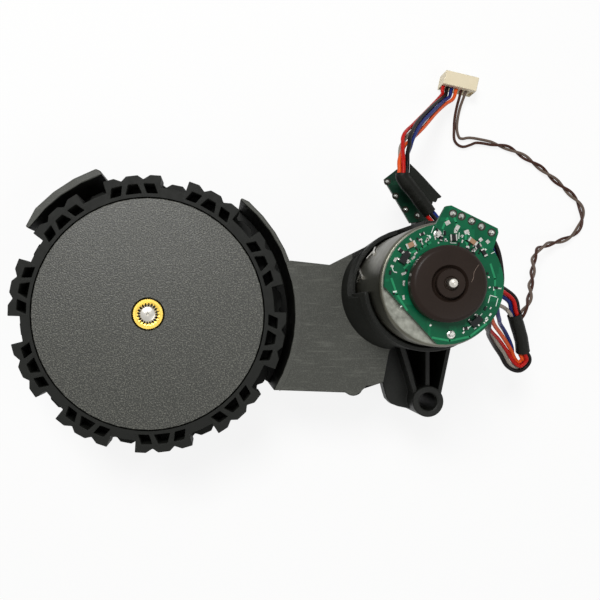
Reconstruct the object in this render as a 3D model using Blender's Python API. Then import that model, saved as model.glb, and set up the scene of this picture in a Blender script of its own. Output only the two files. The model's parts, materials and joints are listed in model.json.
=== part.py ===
"""Drive wheel module of a robot vacuum cleaner.

The module lies on the flat back of its gearbox cover. The origin is where the
wheel's axis meets that flat back, and +Z runs along the axis to the wheel's outer
face. The gearbox arm, the motor cup, the pivot boss and the wiring lie along +X.
Three gear reductions join the upright motor to the axle: the motor's pinion drives
compound gear 1, that drives compound gear 2, and that drives the output gear.
"""

import math

import bmesh
import bpy
from mathutils import Vector

MM = 0.001

# Fits and clearances
SEAT_GAP = 0.3 * MM
RUNNING_FIT = 0.05 * MM
AXIAL_PLAY = 0.4 * MM
TOOTH_PLAY = 0.16 * MM
TIP_CLEARANCE = 0.6 * MM

# Cover and case levels, measured from the module's back
COVER_THICKNESS = 2.0 * MM
COVER_SKIN = 0.6 * MM
WEB_TOP = 11.9 * MM
ARM_FACE = 29.6 * MM
GUARD_TOP = 29.4 * MM
RIB_TOP = 29.0 * MM
BLOCK_TOP = 24.0 * MM
BLOCK_BASE = 20.0 * MM
FLOOR_TOP = 12.4 * MM
HEEL_TOP = 15.0 * MM
ARM_DRAFT = 1.3 * MM

# Gearbox drum and wheel guards, round the wheel's axis
DRUM_WALL = 1.68 * MM
GUARD_GAP = 2.5 * MM
LEFT_GUARD_WALL = 2.0 * MM
RIGHT_GUARD_WALL = 1.3 * MM
LEFT_GUARD_START = 108.5
LEFT_GUARD_END = 144.5
LEFT_GUARD_TAPER_START = 137.0
RIGHT_GUARD_END = 51.5
ARM_START = -31.5
ARM_GUARD_JOIN = 20.8
GUARD_BEVEL = 1.5
CASE_HUB_RADIUS = 8.6 * MM
CASE_HUB_TOP = 18.5 * MM

# Gear train
OUTPUT_MODULE = 1.0 * MM
OUTPUT_TEETH = 56
OUTPUT_PINION_TEETH = 14
MIDDLE_MODULE = 0.6 * MM
MIDDLE_TEETH = 44
MIDDLE_PINION_TEETH = 18
FIRST_MODULE = 0.5 * MM
FIRST_TEETH = 52
MOTOR_PINION_TEETH = 10
PRESSURE_ANGLE = math.radians(20.0)
GEAR_2_DIRECTION = math.radians(-5.9)
GEAR_1_DIRECTION = math.radians(8.05)
MOTOR_DIRECTION = math.radians(28.91)
OUTPUT_GEAR_WIDTH = 4.0 * MM
MIDDLE_GEAR_WIDTH = 2.6 * MM
FIRST_GEAR_WIDTH = 2.4 * MM
MOTOR_PINION_WIDTH = 3.6 * MM
LAYER_GAP = 0.5 * MM
GEAR_PIN_RADIUS = 1.0 * MM
GEAR_1_PIN_SEAT = 3.0 * MM
GEAR_2_PIN_SEAT = 1.4 * MM
GEAR_HUB_RADIUS = 2.4 * MM

# Wheel
WHEEL_FACE = 32.6 * MM
TYRE_WIDTH = 20.0 * MM
TREAD_ROW_WIDTH = 9.4 * MM
TREAD_GROUPS = 10
TREAD_FIRST_GROUP = 24.6
CARCASS_RADIUS = 32.0 * MM
CARCASS_WALL = 2.5 * MM
LUG_HEIGHT = 3.0 * MM
NOTCH_DEPTH = 1.05 * MM
GROOVE_DEPTH = 0.4 * MM
POCKET_DEPTH = 7.0 * MM
POCKET_FLOOR_WALL = 0.95 * MM
POCKET_HEIGHT = 2.35 * MM
HUB_SLEEVE_WALL = 1.9 * MM
HUB_DISC_THICKNESS = 2.2 * MM
HUB_BOSS_RADIUS = 6.0 * MM
HUB_BOSS_BACK = 20.0 * MM
HUB_RIB_BACK = 24.0 * MM
HUB_RIB_THICKNESS = 1.5 * MM
HUB_RIBS = 8
INSERT_RADIUS = 3.85 * MM
INSERT_LENGTH = 8.6 * MM
AXLE_RADIUS = 3.0 * MM
AXLE_HEX_RADIUS = 2.8 * MM
SPLINE_RADIUS = 2.45 * MM
SPLINE_DEPTH = 0.3 * MM
SPLINE_TEETH = 18
AXLE_TIP_RADIUS = 1.78 * MM
AXLE_PROUD = 0.6 * MM
BUSH_WALL = 1.2 * MM
BEARING_RADIUS = 6.5 * MM
BEARING_WIDTH = 4.0 * MM

# Motor and its cup
MOTOR_RADIUS = 13.85 * MM
MOTOR_END = 57.0 * MM
MOTOR_WALL = 0.9 * MM
MOTOR_PLATE = 1.5 * MM
MOTOR_BOSS_RADIUS = 3.0 * MM
MOTOR_BOSS_LENGTH = 2.6 * MM
SHAFT_RADIUS = 1.15 * MM
SHAFT_TIP = 64.6 * MM
CUP_WALL = 1.2 * MM
CUP_SEAT = 19.2 * MM
CUP_FLOOR_THICKNESS = 3.0 * MM
CUP_LOW_RIM = 32.6 * MM
CUP_HIGH_RIM = 47.6 * MM
CUP_BASE_RADIUS = 14.0 * MM
CUP_FLARE = 1.05 * MM
CUP_FLARE_HEIGHT = 3.0 * MM
CUP_FLARE_START = 168.0
CUP_FLARE_END = 240.0
CUP_WINDOW_START = 104.0
CUP_WINDOW_END = 185.0
CUP_WINDOW_SLOPE = 10.0
CUP_WINDOW_STEPS = 10
END_BELL_THICKNESS = 3.2 * MM
MAGNET_WALL = 2.0 * MM
MAGNET_LENGTH = 26.0 * MM
MAGNET_ARC = 140.0
ARMATURE_RADIUS = 10.0 * MM
ARMATURE_LENGTH = 22.0 * MM
ARMATURE_SLOTS = 5
ARMATURE_SLOT_DEPTH = 3.4 * MM
COMMUTATOR_RADIUS = 3.5 * MM
COMMUTATOR_LENGTH = 3.6 * MM
MOTOR_SCREW_CIRCLE = 8.0 * MM
MOTOR_SCREW_DIRECTION = 60.0

# Encoder
BOARD_FACE = 58.6 * MM
BOARD_THICKNESS = 1.2 * MM
BOARD_RADIUS = 13.2 * MM
BOARD_FLAT_START = 182.1
BOARD_FLAT_END = 263.5
BOARD_TAB_START = 35.3
BOARD_TAB_END = 98.2
BOARD_TAB = ((11.96, 11.29), (11.8, 12.22), (1.57, 17.19), (0.33, 17.04))
ENCODER_MAGNET_RADIUS = 8.3 * MM
ENCODER_MAGNET_THICKNESS = 3.0 * MM
ENCODER_MAGNET_GAP = 0.8 * MM
ENCODER_MAGNET_CHAMFER = 0.7 * MM
ENCODER_HUB_RADIUS = 3.0 * MM
ENCODER_GROOVE_RADIUS = 3.9 * MM
ENCODER_GROOVE_DEPTH = 0.5 * MM
HALL_LENGTH = 3.2 * MM
HALL_WIDTH = 2.4 * MM
HALL_HEIGHT = 1.1 * MM
HALL_CIRCLE = 10.6 * MM
HALL_DIRECTIONS = (147.0, -49.7)
TERMINAL_RADIUS = 0.6 * MM
TERMINAL_CIRCLE = 11.05 * MM
TERMINAL_DIRECTIONS = (-82.2, 97.8)
TERMINAL_TIP = 59.6 * MM

# Swing pivot
PIVOT_FROM_MOTOR = (5.3, -29.2)
PIVOT_RADIUS = 4.06 * MM
PIVOT_BORE_RADIUS = 2.24 * MM
PIVOT_TOP = 29.8 * MM
PIVOT_CHAMFER = 0.35 * MM
RIB_THICKNESS = 1.1 * MM

# Screws
SCREW_RADIUS = 0.85 * MM
SCREW_HEAD_RADIUS = 1.9 * MM
SCREW_HEAD_HEIGHT = 1.0 * MM
SCREW_LENGTH = 7.0 * MM
COVER_SCREW_CIRCLE = 10.8 * MM
COVER_SCREW_DIRECTIONS = (-60.0, 5.0, 100.0)

# Drop switch, in millimetres from the motor's axis
SWITCH_BOARD_FACE = 23.1 * MM
SWITCH_BOARD_THICKNESS = 1.0 * MM
SWITCH_HEIGHT = 4.2 * MM
BRACKET_THICKNESS = 5.0 * MM
SWITCH_BOARD_CORNERS = ((-1.2, 32.3), (-4.7, 29.6), (2.3, 17.9), (7.4, 18.6))
SWITCH_BODY_CORNERS = ((-0.2, 30.0), (-1.9, 28.4), (4.2, 19.4), (6.6, 20.2))
BRACKET_CORNERS = ((5.4, 11.6), (10.6, 8.2), (10.6, 17.6), (3.4, 31.4), (-1.2, 31.4), (5.6, 19.6))

# Wiring
BUNDLE_DIAMETER = 3.2 * MM
SLEEVE_DIAMETER = 3.6 * MM
PAIR_DIAMETER = 1.6 * MM
BUNDLE_STEP = 3.0 * MM
PAIR_STEP = 4.0 * MM
CONNECTOR_LENGTH = 10.0 * MM
CONNECTOR_DEPTH = 4.6 * MM
CONNECTOR_HEIGHT = 6.5 * MM
CONNECTOR_LIFT = 0.3 * MM
CONNECTOR_DIRECTION = math.radians(-12.7)
CONNECTOR_FACE = (88.5 * MM, 66.3 * MM)
TAPE_OUTLINE = ((67.7, 38.8), (69.3, 34.3), (73.6, 29.0), (75.6, 30.4))
TAPE_LEVEL = 29.5 * MM
TAPE_THICKNESS = 0.4 * MM

# How round the curves are
FINE_STEP = 8.0
COARSE_SEGMENTS = 16
HOLE_SEGMENTS = 10

# How far cutters reach past what they cut, and the step that keeps joined faces out of one plane
CUTTER_REACH = 2.0 * MM
SLAB_REACH = 200.0 * MM
STAGGER = 0.1 * MM

# Values worked out from the sizes above
AXLE_AXIS = (0.0, 0.0)
CASE_BACK = COVER_THICKNESS + SEAT_GAP
OUTPUT_GEAR_BACK = COVER_THICKNESS + AXIAL_PLAY
OUTPUT_GEAR_FRONT = OUTPUT_GEAR_BACK + OUTPUT_GEAR_WIDTH
MIDDLE_GEAR_BACK = OUTPUT_GEAR_FRONT + LAYER_GAP
MIDDLE_GEAR_FRONT = MIDDLE_GEAR_BACK + MIDDLE_GEAR_WIDTH
FIRST_GEAR_BACK = MIDDLE_GEAR_FRONT + LAYER_GAP
FIRST_GEAR_FRONT = FIRST_GEAR_BACK + FIRST_GEAR_WIDTH
TYRE_BACK = WHEEL_FACE - TYRE_WIDTH
LUG_RADIUS = CARCASS_RADIUS + LUG_HEIGHT
NOTCH_RADIUS = LUG_RADIUS - NOTCH_DEPTH
GROOVE_RADIUS = CARCASS_RADIUS - GROOVE_DEPTH
TYRE_BORE_RADIUS = CARCASS_RADIUS - CARCASS_WALL
POCKET_FLOOR_RADIUS = TYRE_BORE_RADIUS + POCKET_FLOOR_WALL
POCKET_ROOF_RADIUS = POCKET_FLOOR_RADIUS + POCKET_HEIGHT
GUARD_RADIUS = LUG_RADIUS + GUARD_GAP
MOTOR_START = CUP_SEAT + SEAT_GAP
CUP_INNER_RADIUS = MOTOR_RADIUS + SEAT_GAP
CUP_OUTER_RADIUS = CUP_INNER_RADIUS + CUP_WALL
BEARING_BACK = CASE_HUB_TOP - SEAT_GAP - BEARING_WIDTH
AXLE_HOLE_RADIUS = AXLE_RADIUS + AXIAL_PLAY
HUB_RADIUS = TYRE_BORE_RADIUS - SEAT_GAP
BOARD_BACK = BOARD_FACE - BOARD_THICKNESS


def polar(centre, radius, degrees):
    """Point at a radius and angle from a centre, in the plan."""
    angle = math.radians(degrees)
    return (centre[0] + radius * math.cos(angle), centre[1] + radius * math.sin(angle))


def arc(centre, radius, start, end, step=FINE_STEP):
    """Points along an arc, both ends included."""
    count = max(1, round(abs(end - start) / step))
    return [polar(centre, radius, start + (end - start) * index / count) for index in range(count + 1)]


def circle(centre, radius, segments):
    """Points round a full circle."""
    return [polar(centre, radius, 360.0 * index / segments) for index in range(segments)]


def around(radius, segments):
    """Corner radius of a polygon whose flats just touch a circle of this radius."""
    return radius / math.cos(math.pi / segments)


def from_axis(axis, millimetres):
    """Plan point given in millimetres from an axis."""
    return (axis[0] + millimetres[0] * MM, axis[1] + millimetres[1] * MM)


def pitch_radius(module, teeth):
    """Pitch radius of a gear."""
    return module * teeth / 2


def tip_radius(module, teeth):
    """Radius over the teeth."""
    return pitch_radius(module, teeth) + module * 0.92


def pocket_radius(module, teeth):
    """Radius of the pocket that clears a gear's teeth."""
    return tip_radius(module, teeth) + TIP_CLEARANCE


def gear_axes():
    """Axes of both compound gears and the motor, each one centre distance further on."""
    steps = (
        (pitch_radius(OUTPUT_MODULE, OUTPUT_TEETH + OUTPUT_PINION_TEETH), GEAR_2_DIRECTION),
        (pitch_radius(MIDDLE_MODULE, MIDDLE_TEETH + MIDDLE_PINION_TEETH), GEAR_1_DIRECTION),
        (pitch_radius(FIRST_MODULE, FIRST_TEETH + MOTOR_PINION_TEETH), MOTOR_DIRECTION),
    )
    axes = []
    here = AXLE_AXIS
    for distance, direction in steps:
        here = (here[0] + distance * math.cos(direction), here[1] + distance * math.sin(direction))
        axes.append(here)
    return axes


GEAR_2_AXIS, GEAR_1_AXIS, MOTOR_AXIS = gear_axes()
PIVOT_AXIS = from_axis(MOTOR_AXIS, PIVOT_FROM_MOTOR)
DRUM_RADIUS = pocket_radius(OUTPUT_MODULE, OUTPUT_TEETH) + DRUM_WALL


def clear_scene():
    """Remove whatever the file holds, so that the model starts empty."""
    for item in list(bpy.data.objects):
        bpy.data.objects.remove(item, do_unlink=True)


def finish(name, colour, roughness, metallic=0.0):
    """Principled material with one colour, reused by name."""
    material = bpy.data.materials.get(name) or bpy.data.materials.new(name)
    material.use_nodes = True
    shader = material.node_tree.nodes["Principled BSDF"]
    shader.inputs["Base Color"].default_value = (*colour, 1.0)
    shader.inputs["Roughness"].default_value = roughness
    shader.inputs["Metallic"].default_value = metallic
    material.diffuse_color = (*colour, 1.0)
    return material


def black_plastic():
    """Black moulded case plastic."""
    return finish("black_plastic", (0.022, 0.022, 0.024), 0.5)


def grey_plastic():
    """Dark grey moulded wheel plastic."""
    return finish("grey_plastic", (0.11, 0.11, 0.10), 0.6)


def tyre_rubber():
    """Black tread rubber."""
    return finish("tyre_rubber", (0.018, 0.018, 0.018), 0.85)


def white_acetal():
    """Off-white gear plastic."""
    return finish("white_acetal", (0.75, 0.74, 0.70), 0.4)


def steel():
    """Bright plated steel."""
    return finish("steel", (0.62, 0.61, 0.58), 0.3, 1.0)


def brass():
    """Turned brass."""
    return finish("brass", (0.60, 0.42, 0.18), 0.3, 1.0)


def copper():
    """Bare copper."""
    return finish("copper", (0.72, 0.36, 0.20), 0.35, 1.0)


def ferrite():
    """Dark brown pressed magnet."""
    return finish("ferrite", (0.045, 0.033, 0.027), 0.45)


def green_board():
    """Green circuit board."""
    return finish("green_board", (0.0, 0.17, 0.08), 0.35)


def chip_black():
    """Black moulded electronic part."""
    return finish("chip_black", (0.012, 0.012, 0.014), 0.45)


def cream_nylon():
    """Cream connector plastic."""
    return finish("cream_nylon", (0.79, 0.70, 0.52), 0.5)


def sleeve_black():
    """Black shrunk sleeve."""
    return finish("sleeve_black", (0.02, 0.02, 0.02), 0.6)


def place(name, mesh, material):
    """Object with one material, linked to the scene."""
    item = bpy.data.objects.new(name, mesh)
    item.data.materials.append(material)
    bpy.context.scene.collection.objects.link(item)
    return item


def solid(name, bm, material, sharp=35.0):
    """Finish a bmesh as a smooth shaded object with its normals outward."""
    bmesh.ops.recalc_face_normals(bm, faces=bm.faces)
    mesh = bpy.data.meshes.new(name)
    bm.to_mesh(mesh)
    bm.free()
    mesh.shade_smooth()
    mesh.set_sharp_from_angle(angle=math.radians(sharp))
    return place(name, mesh, material)


def add_plate(bm, loops, bottom, top):
    """Add a flat plate: the first loop is its outline and the others are holes."""
    edges = []
    for loop in loops:
        corners = [bm.verts.new((x, y, bottom)) for x, y in loop]
        edges += [bm.edges.new((corner, corners[index - 1])) for index, corner in enumerate(corners)]
    filled = bmesh.ops.triangle_fill(bm, use_beauty=True, use_dissolve=False, edges=edges)
    faces = [item for item in filled["geom"] if isinstance(item, bmesh.types.BMFace)]
    raised = bmesh.ops.extrude_face_region(bm, geom=faces, use_keep_orig=True)
    corners = [item for item in raised["geom"] if isinstance(item, bmesh.types.BMVert)]
    bmesh.ops.translate(bm, verts=corners, vec=(0.0, 0.0, top - bottom))


def plate(name, loops, bottom, top, material):
    """Flat plate as an object."""
    bm = bmesh.new()
    add_plate(bm, loops, bottom, top)
    return solid(name, bm, material)


def add_loft(bm, sections, closed=False):
    """Skin rings of equal point counts; close the ends, or join the last ring to the first."""
    rings = [[bm.verts.new((x, y, level)) for x, y in ring] for ring, level in sections]
    pairs = list(zip(rings, rings[1:]))
    if closed:
        pairs.append((rings[-1], rings[0]))
    for lower, upper in pairs:
        for index in range(len(lower)):
            bm.faces.new((lower[index - 1], lower[index], upper[index], upper[index - 1]))
    if not closed:
        bm.faces.new(list(reversed(rings[0])))
        bm.faces.new(rings[-1])


def loft(name, sections, material, closed=False):
    """Loft as an object."""
    bm = bmesh.new()
    add_loft(bm, sections, closed)
    return solid(name, bm, material)


def turned(centre, profile, segments):
    """Sections of a turned shape, from (radius, level) pairs."""
    return [(circle(centre, radius, segments), level) for radius, level in profile]


def boolean(target, other, operation):
    """Leave a Boolean modifier on the target, and hide the other shape as a guide."""
    modifier = target.modifiers.new(other.name, "BOOLEAN")
    modifier.operation = operation
    modifier.solver = "EXACT"
    modifier.object = other
    other.hide_render = True
    other.display_type = "WIRE"


def join(target, other):
    """Add a shape to the target."""
    boolean(target, other, "UNION")


def cut(target, other):
    """Take a shape out of the target."""
    boolean(target, other, "DIFFERENCE")


def holes(name, drillings, material):
    """One cutter of separate round holes, each as (centre, radius, bottom, top, segments)."""
    bm = bmesh.new()
    for centre, radius, bottom, top, segments in drillings:
        add_loft(bm, turned(centre, ((radius, bottom), (radius, top)), segments))
    return solid(name, bm, material)


def involute(angle):
    """Involute function."""
    return math.tan(angle) - angle


def gear_outline(centre, module, teeth, phase, flank_points=2):
    """Outline of an involute spur gear; the phase is the angle of one tooth's middle."""
    pitch = pitch_radius(module, teeth)
    base = pitch * math.cos(PRESSURE_ANGLE)
    tip = pitch + module * 0.92
    root = pitch - module * 1.2
    half_pitch_tooth = math.pi / (2 * teeth) - TOOTH_PLAY / (4 * pitch)

    def half_width(radius):
        if radius <= base:
            return half_pitch_tooth + involute(PRESSURE_ANGLE)
        return half_pitch_tooth + involute(PRESSURE_ANGLE) - involute(math.acos(base / radius))

    first = max(root, base) if flank_points > 2 else root
    radii = [first + (tip - first) * index / (flank_points - 1) for index in range(flank_points)]
    if first > root:
        radii[0] = root
    outline = []
    for tooth in range(teeth):
        middle = phase + 2 * math.pi * tooth / teeth
        rising = [(radius, middle - half_width(radius)) for radius in radii]
        falling = [(radius, middle + half_width(radius)) for radius in reversed(radii)]
        outline += [polar(centre, radius, math.degrees(angle)) for radius, angle in rising + falling]
    return outline


def meshing_phase(direction, teeth, phase, follower_teeth):
    """Phase of a gear that meshes, at rest, with a gear whose phase is given."""
    offset = (phase - direction) / (2 * math.pi / teeth)
    follower_pitch = 2 * math.pi / follower_teeth
    return direction + math.pi - offset * follower_pitch + follower_pitch / 2


def arm_bottom_edge():
    """Lower edge of the arm with its round screw bump, from the wheel gap to the right."""
    bump = from_axis(GEAR_1_AXIS, (-0.6, -17.6))
    return (
        [polar(AXLE_AXIS, GUARD_RADIUS, ARM_START), from_axis(GEAR_2_AXIS, (15.5, -16.7))]
        + arc(bump, 2.6 * MM, 222.0, 350.0, 16.0)
        + [from_axis(GEAR_1_AXIS, (2.6, -17.3)), from_axis(MOTOR_AXIS, (-6.4, -24.3))]
    )


def arm_top_edge(draft):
    """Upper edge of the arm, from the motor cup to the right guard, drawn in by the draft."""
    beside_cup = from_axis(MOTOR_AXIS, (-8.0, 12.4))
    beside_gear = from_axis(GEAR_1_AXIS, (-1.1, 16.6))
    return [
        (beside_cup[0], beside_cup[1] - draft),
        (beside_gear[0], beside_gear[1] - draft),
        from_axis(GEAR_2_AXIS, (11.6, 16.3)),
        polar(AXLE_AXIS, GUARD_RADIUS + RIGHT_GUARD_WALL, ARM_GUARD_JOIN),
    ]


def arm_outline(draft):
    """Outline of the arm between the wheel gap and the motor cup."""
    inside_cup = [from_axis(MOTOR_AXIS, (-4.6, -14.6)), MOTOR_AXIS]
    gap_side = arc(AXLE_AXIS, GUARD_RADIUS, ARM_GUARD_JOIN, ARM_START)
    return arm_bottom_edge() + inside_cup + arm_top_edge(draft) + gap_side[:-1]


def drum_outline():
    """Flat drum with an ear under each guard; the ears end inside the walls above them."""
    inset = 0.4
    right = arc(AXLE_AXIS, GUARD_RADIUS + RIGHT_GUARD_WALL / 2, ARM_START + inset, RIGHT_GUARD_END - inset)
    top = arc(AXLE_AXIS, DRUM_RADIUS, RIGHT_GUARD_END - inset, LEFT_GUARD_START + inset)
    left = arc(AXLE_AXIS, GUARD_RADIUS + LEFT_GUARD_WALL / 2, LEFT_GUARD_START + inset, LEFT_GUARD_END - inset)
    rest = arc(AXLE_AXIS, DRUM_RADIUS, LEFT_GUARD_END - inset, 360.0 + ARM_START + inset)
    return right + top + left + rest


def left_guard_outline():
    """Curved guard wall with bevelled outer corners, thinner towards its lower end."""
    outer = GUARD_RADIUS + LEFT_GUARD_WALL
    thin = GUARD_RADIUS + LEFT_GUARD_WALL / 2
    return (
        [polar(AXLE_AXIS, thin, LEFT_GUARD_START)]
        + arc(AXLE_AXIS, outer, LEFT_GUARD_START + GUARD_BEVEL, LEFT_GUARD_TAPER_START)
        + [polar(AXLE_AXIS, thin, LEFT_GUARD_END)]
        + arc(AXLE_AXIS, GUARD_RADIUS, LEFT_GUARD_END, LEFT_GUARD_START)
    )


def right_guard_outline():
    """Thin guard wall that starts inside the arm."""
    outer = GUARD_RADIUS + RIGHT_GUARD_WALL
    rooted = ARM_GUARD_JOIN - 2 * GUARD_BEVEL
    return (
        arc(AXLE_AXIS, outer - RIGHT_GUARD_WALL * 0.1, rooted, RIGHT_GUARD_END - 2 * GUARD_BEVEL)
        + [polar(AXLE_AXIS, GUARD_RADIUS + RIGHT_GUARD_WALL / 2, RIGHT_GUARD_END)]
        + arc(AXLE_AXIS, GUARD_RADIUS + RIGHT_GUARD_WALL * 0.05, RIGHT_GUARD_END, rooted)
    )


def heel_outline():
    """Low corner that keeps a wall round gear 1's pocket, between the arm and the cup."""
    corners = ((-6.4, -24.3), (-2.3, -20.5), (0.5, -13.5), (-4.8, -10.5))
    return [from_axis(MOTOR_AXIS, corner) for corner in corners]


def block_outline():
    """Shelf that leads from the arm to the pivot boss."""
    corner = from_axis(MOTOR_AXIS, (-0.6, -27.2))
    return (
        [from_axis(MOTOR_AXIS, (-5.0, -13.0)), from_axis(MOTOR_AXIS, (-6.0, -22.0))]
        + arc(corner, 4.0 * MM, 185.0, 262.0, 26.0)
        + [from_axis(MOTOR_AXIS, (2.3, -31.9)), PIVOT_AXIS, from_axis(MOTOR_AXIS, (-0.2, -12.0))]
    )


def rib_outlines():
    """Three thin ribs from the motor cup to the pivot boss."""
    ends = (
        (from_axis(MOTOR_AXIS, (-1.9, -13.4)), polar(PIVOT_AXIS, PIVOT_RADIUS - RIB_THICKNESS / 2, 148.0)),
        (from_axis(MOTOR_AXIS, (5.3, -12.6)), polar(PIVOT_AXIS, PIVOT_RADIUS * 0.8, 90.0)),
        (from_axis(MOTOR_AXIS, (13.3, -4.1)), polar(PIVOT_AXIS, PIVOT_RADIUS - RIB_THICKNESS / 2, 28.0)),
    )
    outlines = []
    for start, end in ends:
        along = Vector(end) - Vector(start)
        side = Vector((-along.y, along.x)).normalized() * (RIB_THICKNESS / 2)
        corners = (Vector(start) - side, Vector(end) - side, Vector(end) + side, Vector(start) + side)
        outlines.append([tuple(corner) for corner in corners])
    return outlines


def floor_outline():
    """Floor between the ribs, ending inside the outer ones."""
    return [
        from_axis(MOTOR_AXIS, (-1.7, -12.0)),
        from_axis(MOTOR_AXIS, (1.6, -27.5)),
        PIVOT_AXIS,
        from_axis(MOTOR_AXIS, (8.8, -27.5)),
        from_axis(MOTOR_AXIS, (12.2, -9.0)),
    ]


def cover_screw_places():
    """Where the six cover screws stand."""
    ear_middle = (DRUM_RADIUS + GUARD_RADIUS) / 2
    return [
        polar(AXLE_AXIS, ear_middle, (LEFT_GUARD_START + LEFT_GUARD_END) / 2),
        polar(AXLE_AXIS, ear_middle, RIGHT_GUARD_END - 7.5),
        from_axis(GEAR_1_AXIS, (-0.6, -17.6)),
    ] + [polar(MOTOR_AXIS, COVER_SCREW_CIRCLE, direction) for direction in COVER_SCREW_DIRECTIONS]


def gear_pin_places():
    """Number, axis and top level of both gear pins."""
    seated_1 = FIRST_GEAR_FRONT + AXIAL_PLAY + GEAR_1_PIN_SEAT
    seated_2 = MIDDLE_GEAR_FRONT + AXIAL_PLAY + GEAR_2_PIN_SEAT
    return ((1, GEAR_1_AXIS, seated_1 - SEAT_GAP), (2, GEAR_2_AXIS, seated_2 - SEAT_GAP))


def motor_screw_places():
    """Where the two motor screws stand, on either side of the shaft."""
    return [polar(MOTOR_AXIS, MOTOR_SCREW_CIRCLE, MOTOR_SCREW_DIRECTION + turn) for turn in (0.0, 180.0)]


def cup_shapes(material):
    """Motor cup, wider towards its rim, and the flare of its foot on the arm's face."""
    cup = (
        (CUP_BASE_RADIUS, CASE_BACK - 7 * STAGGER),
        (CUP_OUTER_RADIUS, ARM_FACE),
        (CUP_OUTER_RADIUS, CUP_HIGH_RIM),
    )
    inside = CUP_OUTER_RADIUS - CUP_WALL / 2
    flare = []
    for outer, level in ((CUP_OUTER_RADIUS + CUP_FLARE, ARM_FACE - 5 * STAGGER),
                         (CUP_OUTER_RADIUS - STAGGER, ARM_FACE + CUP_FLARE_HEIGHT)):
        outside = arc(MOTOR_AXIS, outer, CUP_FLARE_START, CUP_FLARE_END)
        back = arc(MOTOR_AXIS, inside, CUP_FLARE_END, CUP_FLARE_START)
        flare.append((outside + back, level))
    return [loft("guide_cup", turned(MOTOR_AXIS, cup, 48), material), loft("guide_flare", flare, material)]


def arm_shape(material):
    """Arm whose upper side leans out towards its face."""
    bm = bmesh.new()
    add_loft(bm, [(arm_outline(ARM_DRAFT), CASE_BACK - STAGGER), (arm_outline(0.0), ARM_FACE)])
    bmesh.ops.triangulate(bm, faces=bm.faces)
    return solid("guide_arm", bm, material)


def case_shapes(material):
    """Solid shapes that make the case's outside, apart from the drum."""
    walls = (
        ("guide_left_guard", left_guard_outline(), GUARD_TOP),
        ("guide_right_guard", right_guard_outline(), GUARD_TOP),
        ("guide_heel", heel_outline(), HEEL_TOP),
        ("guide_floor", floor_outline(), FLOOR_TOP),
    )
    shapes = [arm_shape(material)]
    for number, (name, outline, top) in enumerate(walls, 2):
        shapes.append(plate(name, [outline], CASE_BACK - number * STAGGER, top, material))
    shapes.append(plate("guide_block", [block_outline()], BLOCK_BASE, BLOCK_TOP, material))
    shapes += cup_shapes(material)
    hub = ((CASE_HUB_RADIUS, WEB_TOP - MM), (CASE_HUB_RADIUS, CASE_HUB_TOP))
    shapes.append(loft("guide_hub", turned(AXLE_AXIS, hub, 24), material))
    for number, outline in enumerate(rib_outlines(), 1):
        bottom = CASE_BACK + COVER_THICKNESS + number * STAGGER
        shapes.append(plate(f"guide_rib_{number}", [outline], bottom, RIB_TOP, material))
    bracket = [from_axis(MOTOR_AXIS, corner) for corner in BRACKET_CORNERS]
    top = SWITCH_BOARD_FACE - SWITCH_BOARD_THICKNESS - SWITCH_HEIGHT - 2 * SEAT_GAP
    shapes.append(plate("guide_bracket", [bracket], top - BRACKET_THICKNESS, top, material))
    return shapes


def pivot_boss(material):
    """Round boss that runs through the cover's plane to the module's back."""
    profile = ((PIVOT_RADIUS, 0.0), (PIVOT_RADIUS, PIVOT_TOP))
    return loft("guide_boss", turned(PIVOT_AXIS, profile, 32), material)


def pivot_bore(material):
    """Bore with a small chamfer at either end."""
    wide = PIVOT_BORE_RADIUS + PIVOT_CHAMFER
    beyond = 1.0 * MM
    profile = (
        (wide + beyond, -beyond),
        (wide, 0.0),
        (PIVOT_BORE_RADIUS, PIVOT_CHAMFER),
        (PIVOT_BORE_RADIUS, PIVOT_TOP - PIVOT_CHAMFER),
        (wide, PIVOT_TOP),
        (wide + beyond, PIVOT_TOP + beyond),
    )
    return loft("cutter_pivot_bore", turned(PIVOT_AXIS, profile, 24), material)


def gear_pockets(material):
    """Round pockets for the gears, cut from the back, each as high as its gear needs."""
    below = -CUTTER_REACH
    sizes = (
        ("cutter_output", AXLE_AXIS, pocket_radius(OUTPUT_MODULE, OUTPUT_TEETH), OUTPUT_GEAR_FRONT + AXIAL_PLAY, 72),
        ("cutter_gear_2", GEAR_2_AXIS, pocket_radius(MIDDLE_MODULE, MIDDLE_TEETH),
         MIDDLE_GEAR_FRONT + AXIAL_PLAY, 48),
        ("cutter_gear_1", GEAR_1_AXIS, pocket_radius(FIRST_MODULE, FIRST_TEETH),
         FIRST_GEAR_FRONT + AXIAL_PLAY, 48),
        ("cutter_pinion", MOTOR_AXIS, pocket_radius(FIRST_MODULE, MOTOR_PINION_TEETH),
         CUP_SEAT - CUP_FLOOR_THICKNESS - CUTTER_REACH, 16),
    )
    return [
        loft(name, turned(axis, ((radius, below), (radius, ceiling)), segments), material)
        for name, axis, radius, ceiling, segments in sizes
    ]


def cup_window(material):
    """Cutter for the low stretch of the cup's rim, with one sloping end."""
    inner = CUP_INNER_RADIUS - CUTTER_REACH
    outer = CUP_OUTER_RADIUS + CUTTER_REACH
    sections = []
    for start, level in ((CUP_WINDOW_START, CUP_LOW_RIM), (CUP_WINDOW_START - CUP_WINDOW_SLOPE, CUP_HIGH_RIM + MM)):
        step = (CUP_WINDOW_END - start) / CUP_WINDOW_STEPS
        outside = arc(MOTOR_AXIS, outer, start, CUP_WINDOW_END, step)
        sections.append((outside + arc(MOTOR_AXIS, inner, CUP_WINDOW_END, start, step), level))
    return loft("cutter_window", sections, material)


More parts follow.
